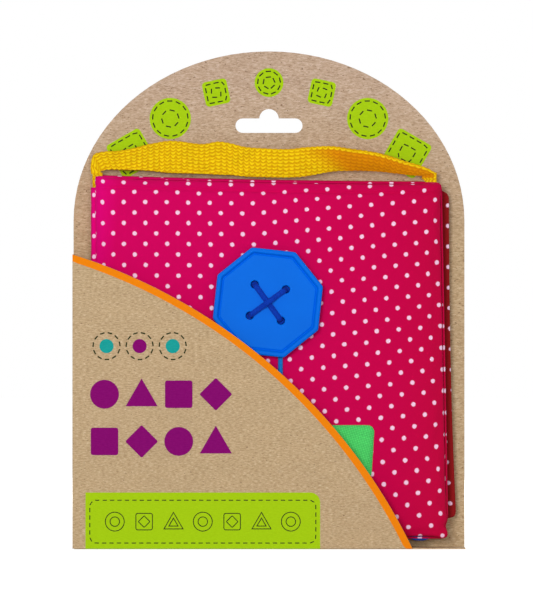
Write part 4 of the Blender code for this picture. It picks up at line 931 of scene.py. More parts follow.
SWELL_FRAMES = 20
SWELL_CAP = 0.9 * MM
SWELL_GROWTH = 0.012
SWELL = {
    "quality": 6, "mass": 0.3, "tension_stiffness": 20, "compression_stiffness": 20, "shear_stiffness": 8,
    "bending_stiffness": 0.6, "vertex_group_mass": "seam", "shrink_min": -SWELL_GROWTH,
    "shrink_max": -SWELL_GROWTH, "use_pressure": True, "uniform_pressure_force": 4.0,
}


def let_swell(thing, pinned):
    """Lets a cloth that is held at its seam swell and pucker. No point moves further than the cap."""
    start = np.array([point.co for point in thing.data.vertices])
    held = thing.vertex_groups.new(name="seam")
    held.add(pinned, 1.0, "REPLACE")
    cloth = thing.modifiers.new("cloth", "CLOTH")
    for name, value in SWELL.items():
        setattr(cloth.settings, name, value)
    cloth.settings.effector_weights.gravity = 0.0
    cloth.point_cache.frame_start = 1
    cloth.point_cache.frame_end = SWELL_FRAMES
    for step in range(1, SWELL_FRAMES + 1):
        scene.frame_set(step)
    seen = thing.evaluated_get(bpy.context.evaluated_depsgraph_get())
    moved = np.array([point.co for point in seen.data.vertices]) - start
    thing.modifiers.remove(cloth)
    thing.vertex_groups.clear()
    scene.frame_set(1)
    reach = np.linalg.norm(moved, axis=1)
    print("swell", thing.name, "at most", round(float(reach.max()) / MM, 2), "mm")
    scale = SWELL_CAP * np.tanh(reach / SWELL_CAP) / np.maximum(reach, 1e-9)
    thing.data.vertices.foreach_set("co", (start + moved * scale[:, None]).astype(np.float32).ravel())
    thing.data.update()


REAR_ROW_Z = 169.9 * MM  # a row of dots on the rear leaf
REAR_COLUMNS_ON = 2  # the rear leaf's print is moved on by this many columns, which also takes it further along the painted shade, where the pink is a deeper red
PRINT_ROW_Z = 176.6 * MM  # a row of dots on the cover, and one of its dots
PRINT_COLUMN_X = -84.9 * MM
PRINT_COLUMNS_BACK = 8  # brings the cover's print to the same stretch of the cloth as the rear leaf's
PRINT_CLIMB = 0.072  # the print climbs to the right over the right half of the cover
PRINT_CLIMB_FROM = -10 * MM
PRINT_FALL = 0.012  # and falls a little over a stretch to the left of that
PRINT_FALL_FROM = -50 * MM
PRINT_FALL_RUN = 40 * MM
PRINT_SPREAD = 0.10  # the print is this much longer at the foot, where the cloth is stretched
PRINT_WIDER = 0.6  # and this share of it wider


def printed_place(x, z, leaf, front):
    """Where a point of the cloth lies in its print."""
    if not front:
        return x + REAR_COLUMNS_ON * DOT_COLUMN, z - REAR_ROW_Z
    climb = PRINT_CLIMB * max(x - PRINT_CLIMB_FROM, 0)
    climb -= PRINT_FALL * min(max(x - PRINT_FALL_FROM, 0), PRINT_FALL_RUN)
    drop = (leaf.top_left - z) / leaf.height
    fall = -leaf.height / PRINT_SPREAD * math.log(1 + PRINT_SPREAD * drop)
    start = (leaf.top_left - PRINT_ROW_Z) / leaf.height
    row = -leaf.height / PRINT_SPREAD * math.log(1 + PRINT_SPREAD * start)
    across = (x - PRINT_COLUMN_X) / (1 + PRINT_WIDER * PRINT_SPREAD * drop)
    return across - PRINT_COLUMNS_BACK * DOT_COLUMN, fall - row - climb


def outer_cloth(name, leaf, seam_y, crown_y, body, front):
    """The dotted cloth over one leaf, swollen over its wadding and pressed in along its stitched hem."""
    points, places = leaf_points(leaf, seam_y, crown_y - seam_y)
    if front:
        points = [Vector((*nipped(point.x, point.z, leaf), point.y)).xzy for point in points]
    side = LAST + 1
    faces = grid_faces(side, side)
    if not front:
        faces = [tuple(reversed(face)) for face in faces]
    mesh = mesh_of(name + "_outer_cloth", points, faces)
    give_map(mesh, [printed_place(x, z, leaf, front) for x, z in places])
    made = new_piece(name + "_outer_cloth", mesh, DOTTED, None)
    let_swell(made, [i for i in range(side * side) if i % side in (0, LAST) or i // side in (0, LAST)])
    subdivide(made, 1)
    settled(made)
    pucker(made, leaf, math.copysign(1, crown_y - seam_y), 7.0 if front else 31.0, crown_y)
    thicken(made, 0.5 * MM, -1.0)
    settled(made)
    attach(made, body)
    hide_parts(name + "_cloth")
    return made, [max(along) - min(along) for along in zip(*places)]


HEM_DROP = 5.6 * MM  # hem stitching below the top edge
HEM_WIDTH = 0.6 * MM
HEM_DEPTH = 1.0 * MM
NICK_Z = 11.6 * MM  # where the cover's right edge is nipped in near its foot
NICK_HEIGHT = 1.7 * MM
NICK_DEPTH = 2.0 * MM
STEP_IN = 0.7 * MM  # how far the cover's left edge steps in above the hem


def nipped(x, z, leaf):
    """The cover's small faults: a left edge that steps in above the hem, a right edge nipped in near its foot."""
    hem = leaf.top_left - HEM_DROP - 1.2 * MM
    drawn = ease((z - hem) / (1.6 * MM)) * ease(1 - (x - leaf.left) / (9 * MM))
    nick = math.exp(-(((z - NICK_Z) / NICK_HEIGHT) ** 2)) * ease(1 - (leaf.right_foot - x) / (8 * MM))
    return x + STEP_IN * drawn - NICK_DEPTH * nick, z


CLEAR_OF_CARD = 0.13 * MM  # how far the rear leaf stays off the printed card
PRESSED_TO = 17 * MM  # the cover is pressed flat beneath the button, and full again beyond the next distance
FULL_FROM = 26 * MM
GATHER_REACH = 9 * MM


def pucker(thing, leaf, outward, seed, crown_y):
    """Small creases: gathers along the edges, soft hollows over the middle, and the hem that its stitches press in."""
    for point in thing.data.vertices:
        x, _, z = point.co
        across = (x - leaf.left) / (leaf.right_foot - leaf.left)
        top = leaf.top_at(across)
        edge = min(x - leaf.left, leaf.right_foot - x, z - leaf.foot, top - z)
        near_edge = math.exp(-max(edge, 0) / GATHER_REACH)
        gathers = hills(x, seed, z, 7 * MM, 0.45 * MM) * near_edge
        hollows = noise.noise(Vector((x / (38 * MM), seed + 5, z / (30 * MM)))) * 0.35 * MM * (1 - near_edge)
        below = (top - z) - HEM_DROP - 0.5 * MM * noise.noise(Vector((x / (25 * MM), seed, 0)))
        hem = HEM_DEPTH * math.exp(-((below / HEM_WIDTH) ** 2))
        held = min(max(edge, 0) / (2.5 * MM), 1)
        point.co.y += outward * held * (gathers + hollows - hem)
        if outward > 0:
            point.co.y = min(point.co.y, CARD_FACE - CLEAR_OF_CARD)
        else:
            off_middle = math.hypot(x - BUTTON.x, z - BUTTON.z)
            fullness = ease((off_middle - PRESSED_TO) / (FULL_FROM - PRESSED_TO))
            point.co.y = max(point.co.y, crown_y + 0.1 * MM - fullness * 2 * MM)
        if edge < 6 * MM:
            wave = hills(x, seed + 9, z, 11 * MM, 0.35 * MM)
            point.co.z += wave
            point.co.x += wave * 0.6
    thing.data.update()


PAD_INSET = 2.5 * MM  # of the wadding from the leaf's left edge
PAD_ABOVE_FOOT = 2.2 * MM


def pad_core(name, leaf, body):
    """The wadding inside one leaf, with the uneven surface of loose fibre."""
    mesh = frame["nodes"][name + "_wadding"].data.copy()
    made = new_piece(name + "_pad", mesh, WADDING, body, (name + "_wadding",))
    weld(made)
    subdivide(made, 2)
    settled(made)
    for point in made.data.vertices:
        fibres = noise.noise(Vector(point.co) / (4 * MM))
        point.co += point.normal * (fibres - 0.5) * 0.3 * MM
        foot = leaf.foot_at((point.co.x + PAD_INSET - leaf.left) / leaf.width)
        point.co.z = max(point.co.z, foot + PAD_ABOVE_FOOT)
    made.data.shade_smooth()


HEM_TURN = 5.0 * MM  # how far the outer cloth's edge is turned in over the lining
# The turned hem's section from the seam inward: how far in, in millimetres, and the share of the way round
HEM_SECTION = (
    (0.9, 0.0), (0.35, 0.1), (0.1, 0.45), (0.3, 0.85), (0.9, 1.0), (2.2, 1.06), (3.8, 1.0), (5.0, 0.85),
)
HEM_THREAD_IN = 4.1 * MM


def hem_line(leaf, inset, steps=60):
    """A line along a leaf's foot, right side and top, drawn in by the inset."""
    right = leaf.width - inset
    top = leaf.height - inset
    line = [(right * part / steps, inset) for part in range(steps)]
    line += [(right, inset + (top - inset) * part / steps) for part in range(steps)]
    line += [(right * (1 - part / steps), top) for part in range(steps + 1)]
    return [leaf.warp_round(x, z) for x, z in line]


def turned_hem(name, leaf, outward, body):
    """The outer cloth's edge, turned in over the lining and sewn down along foot, right side and top."""
    low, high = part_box(name + "_lining")
    seam_y, face_y = (low.y, high.y) if outward > 0 else (high.y, low.y)
    lines = [hem_line(leaf, inset * MM) for inset, _ in HEM_SECTION]
    count = len(lines[0])
    points = []
    places = []
    beyond = 0.0
    for ring, ((inset, share), line) in enumerate(zip(HEM_SECTION, lines)):
        before_inset, before_share = HEM_SECTION[max(ring - 1, 0)]
        beyond += math.hypot((inset - before_inset) * MM, (share - before_share) * (face_y - seam_y))
        turned = beyond + (inset - HEM_SECTION[0][0]) * MM
        for index, (x, z) in enumerate(line):
            side_x, side_z = ((0, -1), (1, 0), (0, 1), (0, 1))[3 * index // (count - 1)]
            places.append(printed_place(x + side_x * turned, z + side_z * turned, leaf, outward > 0))
            wave = hills(x, inset, z, 8 * MM, 0.12 * MM)
            if outward > 0:
                x, z = nipped(x, z, leaf)
            points.append(Vector((x, seam_y + (face_y - seam_y) * share + outward * wave * share, z)))
    mesh = mesh_of(name + "_hem", points, grid_faces(len(lines), count))
    give_map(mesh, places)
    made = new_piece(name + "_hem", mesh, DOTTED, body)
    subdivide(made, 1)
    thicken(made, 0.4 * MM)
    settled(made)
    thread_y = face_y + outward * 0.25 * MM
    path = [Vector((x, thread_y, z)) for x, z in hem_line(leaf, HEM_THREAD_IN)]
    out = Vector((0, outward, 0))
    stitches(name + "_hem_stitches", path, HEM_STITCH, out, body, PINK_THREAD)


LINING_LEFT = 2.0 * MM  # where the lining ends at the fold, from the leaf's left edge
LINING_CELLS = 90
PEEP_X = 77 * MM  # the cover's lining shows here beneath its foot
PEEP_REACH = 7 * MM


def inner_cloth(name, leaf, body, peep):
    """The blue lining of one leaf: a thin sheet, a little uneven, with its edge beneath the turned hem."""
    low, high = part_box(name + "_lining")
    middle_y = (low.y + high.y) / 2
    inset = HEM_TURN - 0.6 * MM

    def place(across, up):
        x = LINING_LEFT + (leaf.width - inset - LINING_LEFT) * across
        x, z = leaf.warp(x, inset + (leaf.height - 2 * inset) * up)
        drop = math.exp(-(((x - PEEP_X) / PEEP_REACH) ** 4)) * ease(1 - up * LINING_CELLS / 3)
        z -= peep * (inset + 1.0 * MM) * drop
        wave = hills(x, middle_y * 100, z, 16 * MM, 0.16 * MM) + hills(x, middle_y * 300, z, 5 * MM, 0.05 * MM)
        return x, middle_y + wave, z

    mesh = grid_mesh(name + "_inner_cloth", LINING_CELLS + 1, LINING_CELLS + 1, place)
    give_map(mesh, flat_place)
    made = new_piece(name + "_inner_cloth", mesh, BLUE_LINING, body, (name + "_lining",))
    subdivide(made, 1)
    thicken(made, 0.55 * MM)
    settled(made)


SPINE_PRINT = -92.5 * MM  # where the middle of the spine lies in the print, at the lit magenta end of the painted light
SPINE_ROWS = 60


def spine_z(up):
    return SPINE_LOW.z + (SPINE_HIGH.z - SPINE_LOW.z) * up


def spine_place(point, inward=0):
    """Where a point of the spine or its folds lies in one run of the print, from cover to rear leaf."""
    return SPINE_PRINT + point.y - SPINE.y - inward * max(point.x - SPINE_LOW.x, 0), point.z - REAR_ROW_Z


# The fold's section: how far in from the spine's middle, and how far past the fold's middle, in millimetres
FOLD_SECTION = ((4.6, -0.55), (2.6, -0.55), (1.0, -0.55), (0.1, -0.1), (0.0, 1.0), (0.0, 2.4))


def fold_cloth(name, inward):
    """The short stretch of cloth that bends where a leaf meets the spine."""
    low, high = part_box(name + "_lining")
    fold_y = (low.y + high.y) / 2
    route = [Vector((SPINE.x + x * MM, fold_y + inward * y * MM, 0)) for x, y in FOLD_SECTION]
    section = smooth_path(route, 0.35 * MM)
    points = []
    for row in range(SPINE_ROWS):
        z = spine_z(row / (SPINE_ROWS - 1))
        wave = 0.12 * MM * noise.noise(Vector((z / (8 * MM), fold_y * 500, 1)))
        points += [Vector((place.x - wave, place.y, z)) for place in section]
    mesh = mesh_of(name + "_fold_cloth", points, grid_faces(SPINE_ROWS, len(section)))
    give_map(mesh, lambda point: spine_place(point, inward))
    made = new_piece(name + "_fold_cloth", mesh, DOTTED, None)
    thicken(made, 0.6 * MM)
    settled(made)
    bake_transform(made)


def spine_cloth():
    """The cloth strip between the two leaves, bulging a little outward."""

    def place(across, up):
        z = spine_z(up)
        bulge = 0.35 * MM * math.sin(across * math.pi)
        bulge += 0.15 * MM * noise.noise(Vector((z / (9 * MM), across, 3)))
        return SPINE.x - bulge, SPINE_LOW.y + (SPINE_HIGH.y - SPINE_LOW.y) * across, z

    mesh = grid_mesh("spine_cloth", SPINE_ROWS, 11, place)
    give_map(mesh, spine_place)
    made = new_piece("spine_cloth", mesh, DOTTED, "spine", ("spine_strip",))
    thicken(made, 0.6 * MM)
    settled(made)


def padded_leaves():
    for name, leaf, seam_y, crown_y, body, outward in (
        ("cover", COVER, COVER_HIGH.y + SEAT, COVER_LOW.y, "cover", 1),
        ("rear", REAR, REAR_LOW.y - SEAT, REAR_HIGH.y, "board", -1),
    ):
        cloth, flat = outer_cloth(name, leaf, seam_y, crown_y, body, outward > 0)
        pad_core(name, leaf, body)
        inner_cloth(name, leaf, body, max(outward, 0))
        turned_hem(name, leaf, outward, body)
    spine_cloth()
    fold_cloth("cover", 1)
    fold_cloth("rear", -1)


# Cords, laces and threads


def measured(path):
    """The length of a path, and a rule that gives its point at any distance along it."""
    lengths = np.concatenate([[0], np.cumsum([(b - a).length for a, b in zip(path, path[1:])])])
    table = np.array([tuple(point) for point in path])
    return lengths[-1], lambda place: Vector([np.interp(place, lengths, table[:, i]) for i in range(3)])


def smooth_path(points, step):
    """Points at an even step along a smooth curve through the given ones."""
    dense = []
    for index in range(len(points) - 1):
        before, start, end = points[max(index - 1, 0)], points[index], points[index + 1]
        after = points[min(index + 2, len(points) - 1)]
        dense += [hermite(start, end, (end - before) / 2, (after - start) / 2, part / 12) for part in range(12)]
    length, point_at = measured(dense + points[-1:])
    return [point_at(place) for place in np.linspace(0, length, max(int(length / step), 2) + 1)]


def cord_mesh(name, path, width, thickness, strands, pitch, relief, sides=16):
    """A braided cord along a path: an oval section with crossing strands standing out."""
    points = []
    travelled = 0.0
    normal = FRONT
    for index, place in enumerate(path):
        before = path[max(index - 1, 0)]
        after = path[min(index + 1, len(path) - 1)]
        tangent = (after - before).normalized()
        normal = (normal - normal.dot(tangent) * tangent).normalized()
        side = tangent.cross(normal)
        travelled += (place - before).length
        for step in range(sides):
            angle = FULL_TURN * step / sides
            crossing = (strands * angle / 2 + sign * math.pi * travelled / pitch for sign in (1, -1))
            swell = 1 - relief * (1 - max(abs(math.sin(turn)) for turn in crossing))
            flat = side * (width / 2 * swell * math.cos(angle))
            points.append(place + flat + normal * (thickness / 2 * swell * math.sin(angle)))
    mesh = mesh_of(name, points, tube_faces(len(path), sides))
    turn_outward(mesh)
    return mesh


# Sewn stitches: each one's length, the gap after it and the thread's thickness
HEM_STITCH = (1.9 * MM, 1.0 * MM, 0.32 * MM)
BOX_STITCH = (1.6 * MM, 0.8 * MM, 0.4 * MM)
PLATE_STITCH = (1.7 * MM, 0.9 * MM, 0.35 * MM)
STITCH_JITTER = 0.12
STITCH_SIDES = 6
STITCH_RINGS = 5


def stitches(name, path, sizes, out, body, surface):
    """A row of hand-sewn stitches along a path, each a short thread that dips in at both ends."""
    length, gap, thread = sizes
    chance = random.Random(name)
    whole, point_at = measured(path)
    points = []
    faces = []
    place = gap
    while place + length < whole:
        size = length * (1 + chance.uniform(-STITCH_JITTER, STITCH_JITTER))
        faces += tube_faces(STITCH_RINGS, STITCH_SIDES, len(points))
        start, end = point_at(place), point_at(place + size)
        side = (end - start).normalized().cross(out).normalized()
        shift = side * chance.uniform(-STITCH_JITTER, STITCH_JITTER) * thread
        for ring in range(STITCH_RINGS):
            part = ring / (STITCH_RINGS - 1)
            rise = math.sin(part * math.pi)
            middle = start.lerp(end, part) + out * (thread * 0.55 * rise - thread * 0.15) + shift
            radius = thread / 2 * (0.55 + 0.45 * rise)
            for step in range(STITCH_SIDES):
                angle = FULL_TURN * step / STITCH_SIDES
                points.append(middle + side * radius * math.cos(angle) + out * radius * math.sin(angle))
        place += length + gap
    mesh = mesh_of(name, points, faces)
    turn_outward(mesh)
    new_piece(name, mesh, surface, body)


# Handle

HANDLE_AXIS = next(joint for joint in frame["joints"] if joint["name"] == "handle_swing")["pos_m"]
HANDLE_LOW, HANDLE_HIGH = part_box("handle_strap")
HANDLE_RISE = 17.3 * MM
HANDLE_LEAN = 5.0 * MM
HANDLE_STEPS = 300
HANDLE_COLUMNS = 19
WEBBING = 1.4 * MM
# The strap's two edges along its run, as shares of its width and rise: step, upper edge, lower edge, lean
HANDLE_RUN_SHARES = (
    (0.00, 0.000, 0.000, 0.030, 0.000, 0.0),
    (0.04, -0.002, 0.250, 0.026, 0.050, 0.1),
    (0.08, 0.006, 0.550, 0.032, 0.100, 0.5),
    (0.12, 0.035, 0.645, 0.055, 0.130, 0.9),
    (0.16, 0.079, 0.670, 0.088, 0.120, 1.0),
    (0.20, 0.125, 0.755, 0.125, 0.115, 1.0),
    (0.24, 0.171, 0.880, 0.171, 0.090, 1.0),
    (0.28, 0.217, 0.965, 0.217, 0.035, 1.0),
    (0.32, 0.255, 0.955, 0.255, 0.020, 1.0),
    (0.37, 0.322, 0.875, 0.322, 0.000, 0.9),
    (0.41, 0.366, 0.950, 0.366, -0.020, 0.9),
    (0.45, 0.403, 0.900, 0.403, -0.035, 0.8),
    (0.49, 0.440, 0.800, 0.440, -0.070, 0.7),
    (0.54, 0.495, 0.755, 0.495, -0.095, 0.5),
    (0.60, 0.575, 0.735, 0.575, -0.100, 0.1),
    (0.64, 0.620, 0.790, 0.620, -0.065, -0.2),
    (0.68, 0.680, 0.825, 0.680, 0.055, -0.5),
    (0.75, 0.750, 0.745, 0.745, 0.110, -0.8),
    (0.82, 0.830, 0.620, 0.825, 0.095, -0.8),
    (0.90, 0.912, 0.370, 0.900, 0.010, -0.4),
    (0.95, 0.968, 0.190, 0.938, -0.030, -0.1),
    (1.00, 1.000, 0.000, 0.952, -0.020, 0.0),
)
# Soft creases across the strap, in millimetres: where they are, how wide, and how deep
STRAP_CREASES = ((-57.6, 3.0, 1.0), (-34.6, 3.6, 0.8), (-78.0, 5.0, 0.6))
# Outlines of the strap's two sewn ends, in millimetres
LEFT_FOOT = ((0, 0), (14, 0), (14, 12), (8, 15), (4.6, 20.4), (4.3, 22.9), (-1, 22.9), (-0.8, 18), (0, 14))
RIGHT_FOOT = ((0, 0), (14, 0), (14, 22.9), (6.4, 22.9), (8.4, 20.4), (6, 15), (0, 12))


def strap_wave(x):
    """How far back the strap lies at x, where it creases from one gentle wave into the next."""
    wave = 0.0
    for middle, width, depth in STRAP_CREASES:
        along = (x / MM - middle) / width
        wave += depth * MM * along * math.exp(-along * along / 2)
    return wave


def smooth_table(rows, steps):
    """The table's columns read at even steps along its first column, through a smooth curve."""
    table = np.array(rows)
    keys = table[:, 0]
    slopes = np.gradient(table, keys, axis=0)
    found = []
    for along in np.linspace(0, 1, steps + 1):
        index = min(int(np.searchsorted(keys, along, side="right")) - 1, len(keys) - 2)
        span = keys[index + 1] - keys[index]
        slope_in, slope_out = span * slopes[index:index + 2]
        found.append(hermite(table[index], table[index + 1], slope_in, slope_out, (along - keys[index]) / span))
    return found


def handle():
    """The woven strap: its left part faces the front, its right part twists so that its inner side shows."""
    width = HANDLE_HIGH.x - HANDLE_LOW.x
    points = []
    for _, upper_x, upper_z, lower_x, lower_z, lean in smooth_table(HANDLE_RUN_SHARES, HANDLE_STEPS):
        for column in range(HANDLE_COLUMNS):
            across = column / (HANDLE_COLUMNS - 1)
            x = HANDLE_LOW.x + (lower_x + across * (upper_x - lower_x)) * width
            ripple = 0.12 * MM * math.sin(FULL_TURN * x / (2.7 * MM)) * abs(2 * across - 1) ** 3
            z = HANDLE_AXIS[2] + SEAT / 2 + (lower_z + across * (upper_z - lower_z)) * HANDLE_RISE + ripple
            bow = 0.5 * MM * math.sin(across * math.pi)
            y = HANDLE_AXIS[1] + lean * (across - 0.3) * HANDLE_LEAN - bow + strap_wave(x)
            points.append((x, y, z))
    mesh = mesh_of("handle_webbing", points, grid_faces(HANDLE_STEPS + 1, HANDLE_COLUMNS))
    grid = np.array(points).reshape(HANDLE_STEPS + 1, HANDLE_COLUMNS, 3)
    along = np.zeros(grid.shape[:2])
    middle = np.linalg.norm(np.diff(grid[:, HANDLE_COLUMNS // 2], axis=0), axis=1)
    along[1:, :] = np.cumsum(middle)[:, None]
    over = np.zeros(grid.shape[:2])
    over[:, 1:] = np.cumsum(np.linalg.norm(np.diff(grid, axis=1), axis=2), axis=1)
    over -= over[:, -1:]
    give_map(mesh, list(zip(along.ravel(), over.ravel())))
    made = new_piece("handle_webbing", mesh, HANDLE_WEBBING, "handle", ("handle_strap",))
    thicken(made, WEBBING)
    modify(made, "BEVEL", width=0.35 * MM, segments=2, limit_method="ANGLE")
    settled(made)
    handle_foot("left", LEFT_FOOT)
    handle_foot("right", RIGHT_FOOT)
    # The right turn lies past the painted shade along the map, so it is painted in amber shade; the left one is not
    handle_turn("left", HANDLE_LOW.x + 0.4 * MM, HANDLE_LOW.x + 5.6 * MM, -TWIST_END)
    handle_turn("right", HANDLE_HIGH.x - 7.6 * MM, HANDLE_HIGH.x, TWIST_END)


def handle_turn(side, left, right, run):
    """The short stretch of strap where the handle swings, at its run along the strap's weave."""
    low_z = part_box("handle_end_" + side)[1].z - 1.9 * MM
    high_z = HANDLE_AXIS[2] + 0.9 * MM

    def place(across, up):
        x = left + (right - left) * across
        z = low_z + (high_z - low_z) * up
        return x, HANDLE_AXIS[1] + 0.1 * MM * noise.noise(Vector((x / (3 * MM), z / (3 * MM), 4))), z

    name = "handle_turn_" + side
    mesh = grid_mesh(name, 9, 15, place)
    give_map(mesh, lambda point: (point.z + run, point.x - right))
    made = new_piece(name, mesh, HANDLE_WEBBING, None)
    thicken(made, WEBBING * 0.85)
    settled(made)
    x, y, z = HANDLE_AXIS
    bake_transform(made)


FOOT_WIDTH = 14 * MM
# The box of stitches: its middle above the foot of the strap's end, and half its width and height
BOX_MIDDLE = 6.5 * MM
BOX_HALF_WIDTH = 5.2 * MM
BOX_HALF_HEIGHT = 4.6 * MM
THREAD_PROUD = 0.05 * MM


def handle_foot(side, corners):
    """One end of the strap, sewn to the rear leaf with a box of stitches."""
    low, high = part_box("handle_end_" + side)
    outline = [(low.x + x * MM, (low.y + high.y) / 2, low.z + z * MM) for x, z in corners]
    mesh = mesh_of("handle_foot_" + side, outline, [tuple(range(len(outline)))])
    with editing(mesh) as work:
        bmesh.ops.triangulate(work, faces=work.faces)
        bmesh.ops.subdivide_edges(work, edges=work.edges, cuts=5, use_grid_fill=True)
    for point in mesh.vertices:
        point.co.y += noise.noise(point.co / (5 * MM)) * 0.12 * MM
    give_map(mesh, lambda point: (point.z, point.x - low.x - FOOT_WIDTH))
    replaced = ("handle_end_" + side,)
    made = new_piece("handle_foot_" + side, mesh, YELLOW_WEBBING, "board", replaced)
    thicken(made, WEBBING * 0.9)
    settled(made)
    middle_x = (low.x + high.x) / 2
    middle_z = low.z + BOX_MIDDLE
    box = [
        Vector((middle_x + a * BOX_HALF_WIDTH, low.y + THREAD_PROUD, middle_z + b * BOX_HALF_HEIGHT))
        for a, b in ((-1, -1), (1, -1), (1, 1), (-1, 1), (-1, -1))
    ]
    for label, path in (("box", box), ("cross_up", [box[0], box[2]]), ("cross_down", [box[1], box[3]])):
        name = "foot_" + side + "_" + label
        stitches(name, path, BOX_STITCH, FRONT, "board", PINK_THREAD)


# Small sewn pieces


def sewn_plate(name, node, surface, body, rounding, seam=None, out=FRONT, span=None):
    """A flat cloth piece with softened edges. A seam is sewn this far in from its edges, or from its span's."""
    made = new_piece(name, frame["nodes"][node].data.copy(), surface, body, (node,))
    weld(made)
    soften_edges(made, rounding, 3)
    settled(made)
    made.data.shade_smooth()
    made.data.set_sharp_from_angle(angle=math.radians(50))
    while made.data.uv_layers:
        made.data.uv_layers.remove(made.data.uv_layers[0])
    give_map(made.data, flat_place)
    if seam:
        low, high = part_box(node)
        if span:
            low.x, high.x = span
        middle = (low + high) / 2
        half = (high - low) / 2
        face_y = (low.y if out.y < 0 else high.y) + out.y * THREAD_PROUD
        corners = soft_square(middle.x, middle.z, half.x - seam, half.z - seam, 0.6 * MM)
        path = [Vector((x, face_y, z)) for x, z in corners + corners[:1]]
        stitches(name + "_stitches", path, PLATE_STITCH, out, body, WHITE_YARN)
    return made


# Button on the cover

BUTTON_RADIUS = 29.3 * MM
BUTTON_TURN = math.radians(-6.3 + 22.5)
BUTTON_CORNER = 2.2 * MM
BUTTON_RECESS = 1.0 * MM
# The button's section in millimetres: insets from its radius, and depths behind its back, its front and its face
BACK_EDGE = ((0.9, 0.0), (0.3, -0.15), (0.0, -0.6))
FRONT_EDGE = ((0.0, 0.9), (0.12, 0.45), (0.45, 0.12), (0.9, 0.0), (1.95, 0.0), (2.2, 0.06), (2.4, 0.25))
GROOVE = ((3.0, 0.0), (3.15, 0.5), (3.4, 0.6), (3.65, 0.45), (3.9, 0.06), (4.2, 0.0), (4.8, 0.0))
HOLE_REACH = 16.1 * MM / math.sqrt(2)  # of the holes from the button's middle
HOLE_TURN = math.radians(-9)
# A hole's section in millimetres: its radius, and the depth behind the face
HOLE_SECTION = ((2.6, -0.4), (2.45, 0.0), (2.12, 0.25), (2.0, 0.6), (2.0, 4.0))
HOLE_SIDES = 32
FACE_Y = BUTTON_LOW.y + BUTTON_RECESS


def round_button(angle, radius, y=0.0):
    """The point at this angle and distance about the button's middle."""
    return Vector((BUTTON.x + radius * math.cos(angle), y, BUTTON.z + radius * math.sin(angle)))


def button_ring(radius, y):
    """An octagon with round corners, as points at one depth."""
    points = []
    for index in range(8):
        centre_angle = BUTTON_TURN + index * math.pi / 4
        centre = round_button(centre_angle, radius - BUTTON_CORNER / math.cos(math.pi / 8), y)
        for step in range(5):
            angle = centre_angle + (step / 4 - 0.5) * math.pi / 4
            points.append(centre + Vector((BUTTON_CORNER * math.cos(angle), 0, BUTTON_CORNER * math.sin(angle))))
    return points


HOLES = [round_button(HOLE_TURN + math.pi / 4 + index * math.pi / 2, HOLE_REACH) for index in range(4)]


def cord_hole(x, z):
    """A cutter for one hole, flared where it meets the button's face."""
    points = []
    for radius, depth in HOLE_SECTION:
        points += [(across, FACE_Y + depth * MM, up) for across, up in disc(x, z, radius * MM, HOLE_SIDES)]
    mesh = mesh_of("hole", points, tube_faces(len(HOLE_SECTION), HOLE_SIDES))
    turn_outward(mesh)
    made = bpy.data.objects.new("hole", mesh)
    scene.collection.objects.link(made)
    return made


def big_button():
    """The moulded octagonal button: a rounded raised rim, a sunk face and four flared holes."""
    points = []
    count = 0
    for y, section in ((BUTTON_HIGH.y, BACK_EDGE), (BUTTON_LOW.y, FRONT_EDGE), (FACE_Y, GROOVE)):
        for inset, depth in section:
            points += button_ring(BUTTON_RADIUS - inset * MM, y + depth * MM)
            count += 1
    mesh = mesh_of("big_button", points, tube_faces(count, len(points) // count))
    turn_outward(mesh)
    made = new_piece("big_button", mesh, BUTTON_BLUE, "button", ("button_plate",))
    cutters = [cord_hole(hole.x, hole.z) for hole in HOLES]
    for cutter in cutters:
        modify(made, "BOOLEAN", operation="DIFFERENCE", solver="EXACT", object=cutter)
    settled(made)
    for cutter in cutters:
        bpy.data.objects.remove(cutter, do_unlink=True)
    made.data.shade_smooth()
    flatten(made)
    made.data.materials.clear()
    made.data.materials.append(BUTTON_BLUE)


LACE_WIDTH = 2.9 * MM
LACE_THICKNESS = 2.0 * MM
SHANK_TURNS = 5
SHANK_STEPS = 32  # for each turn


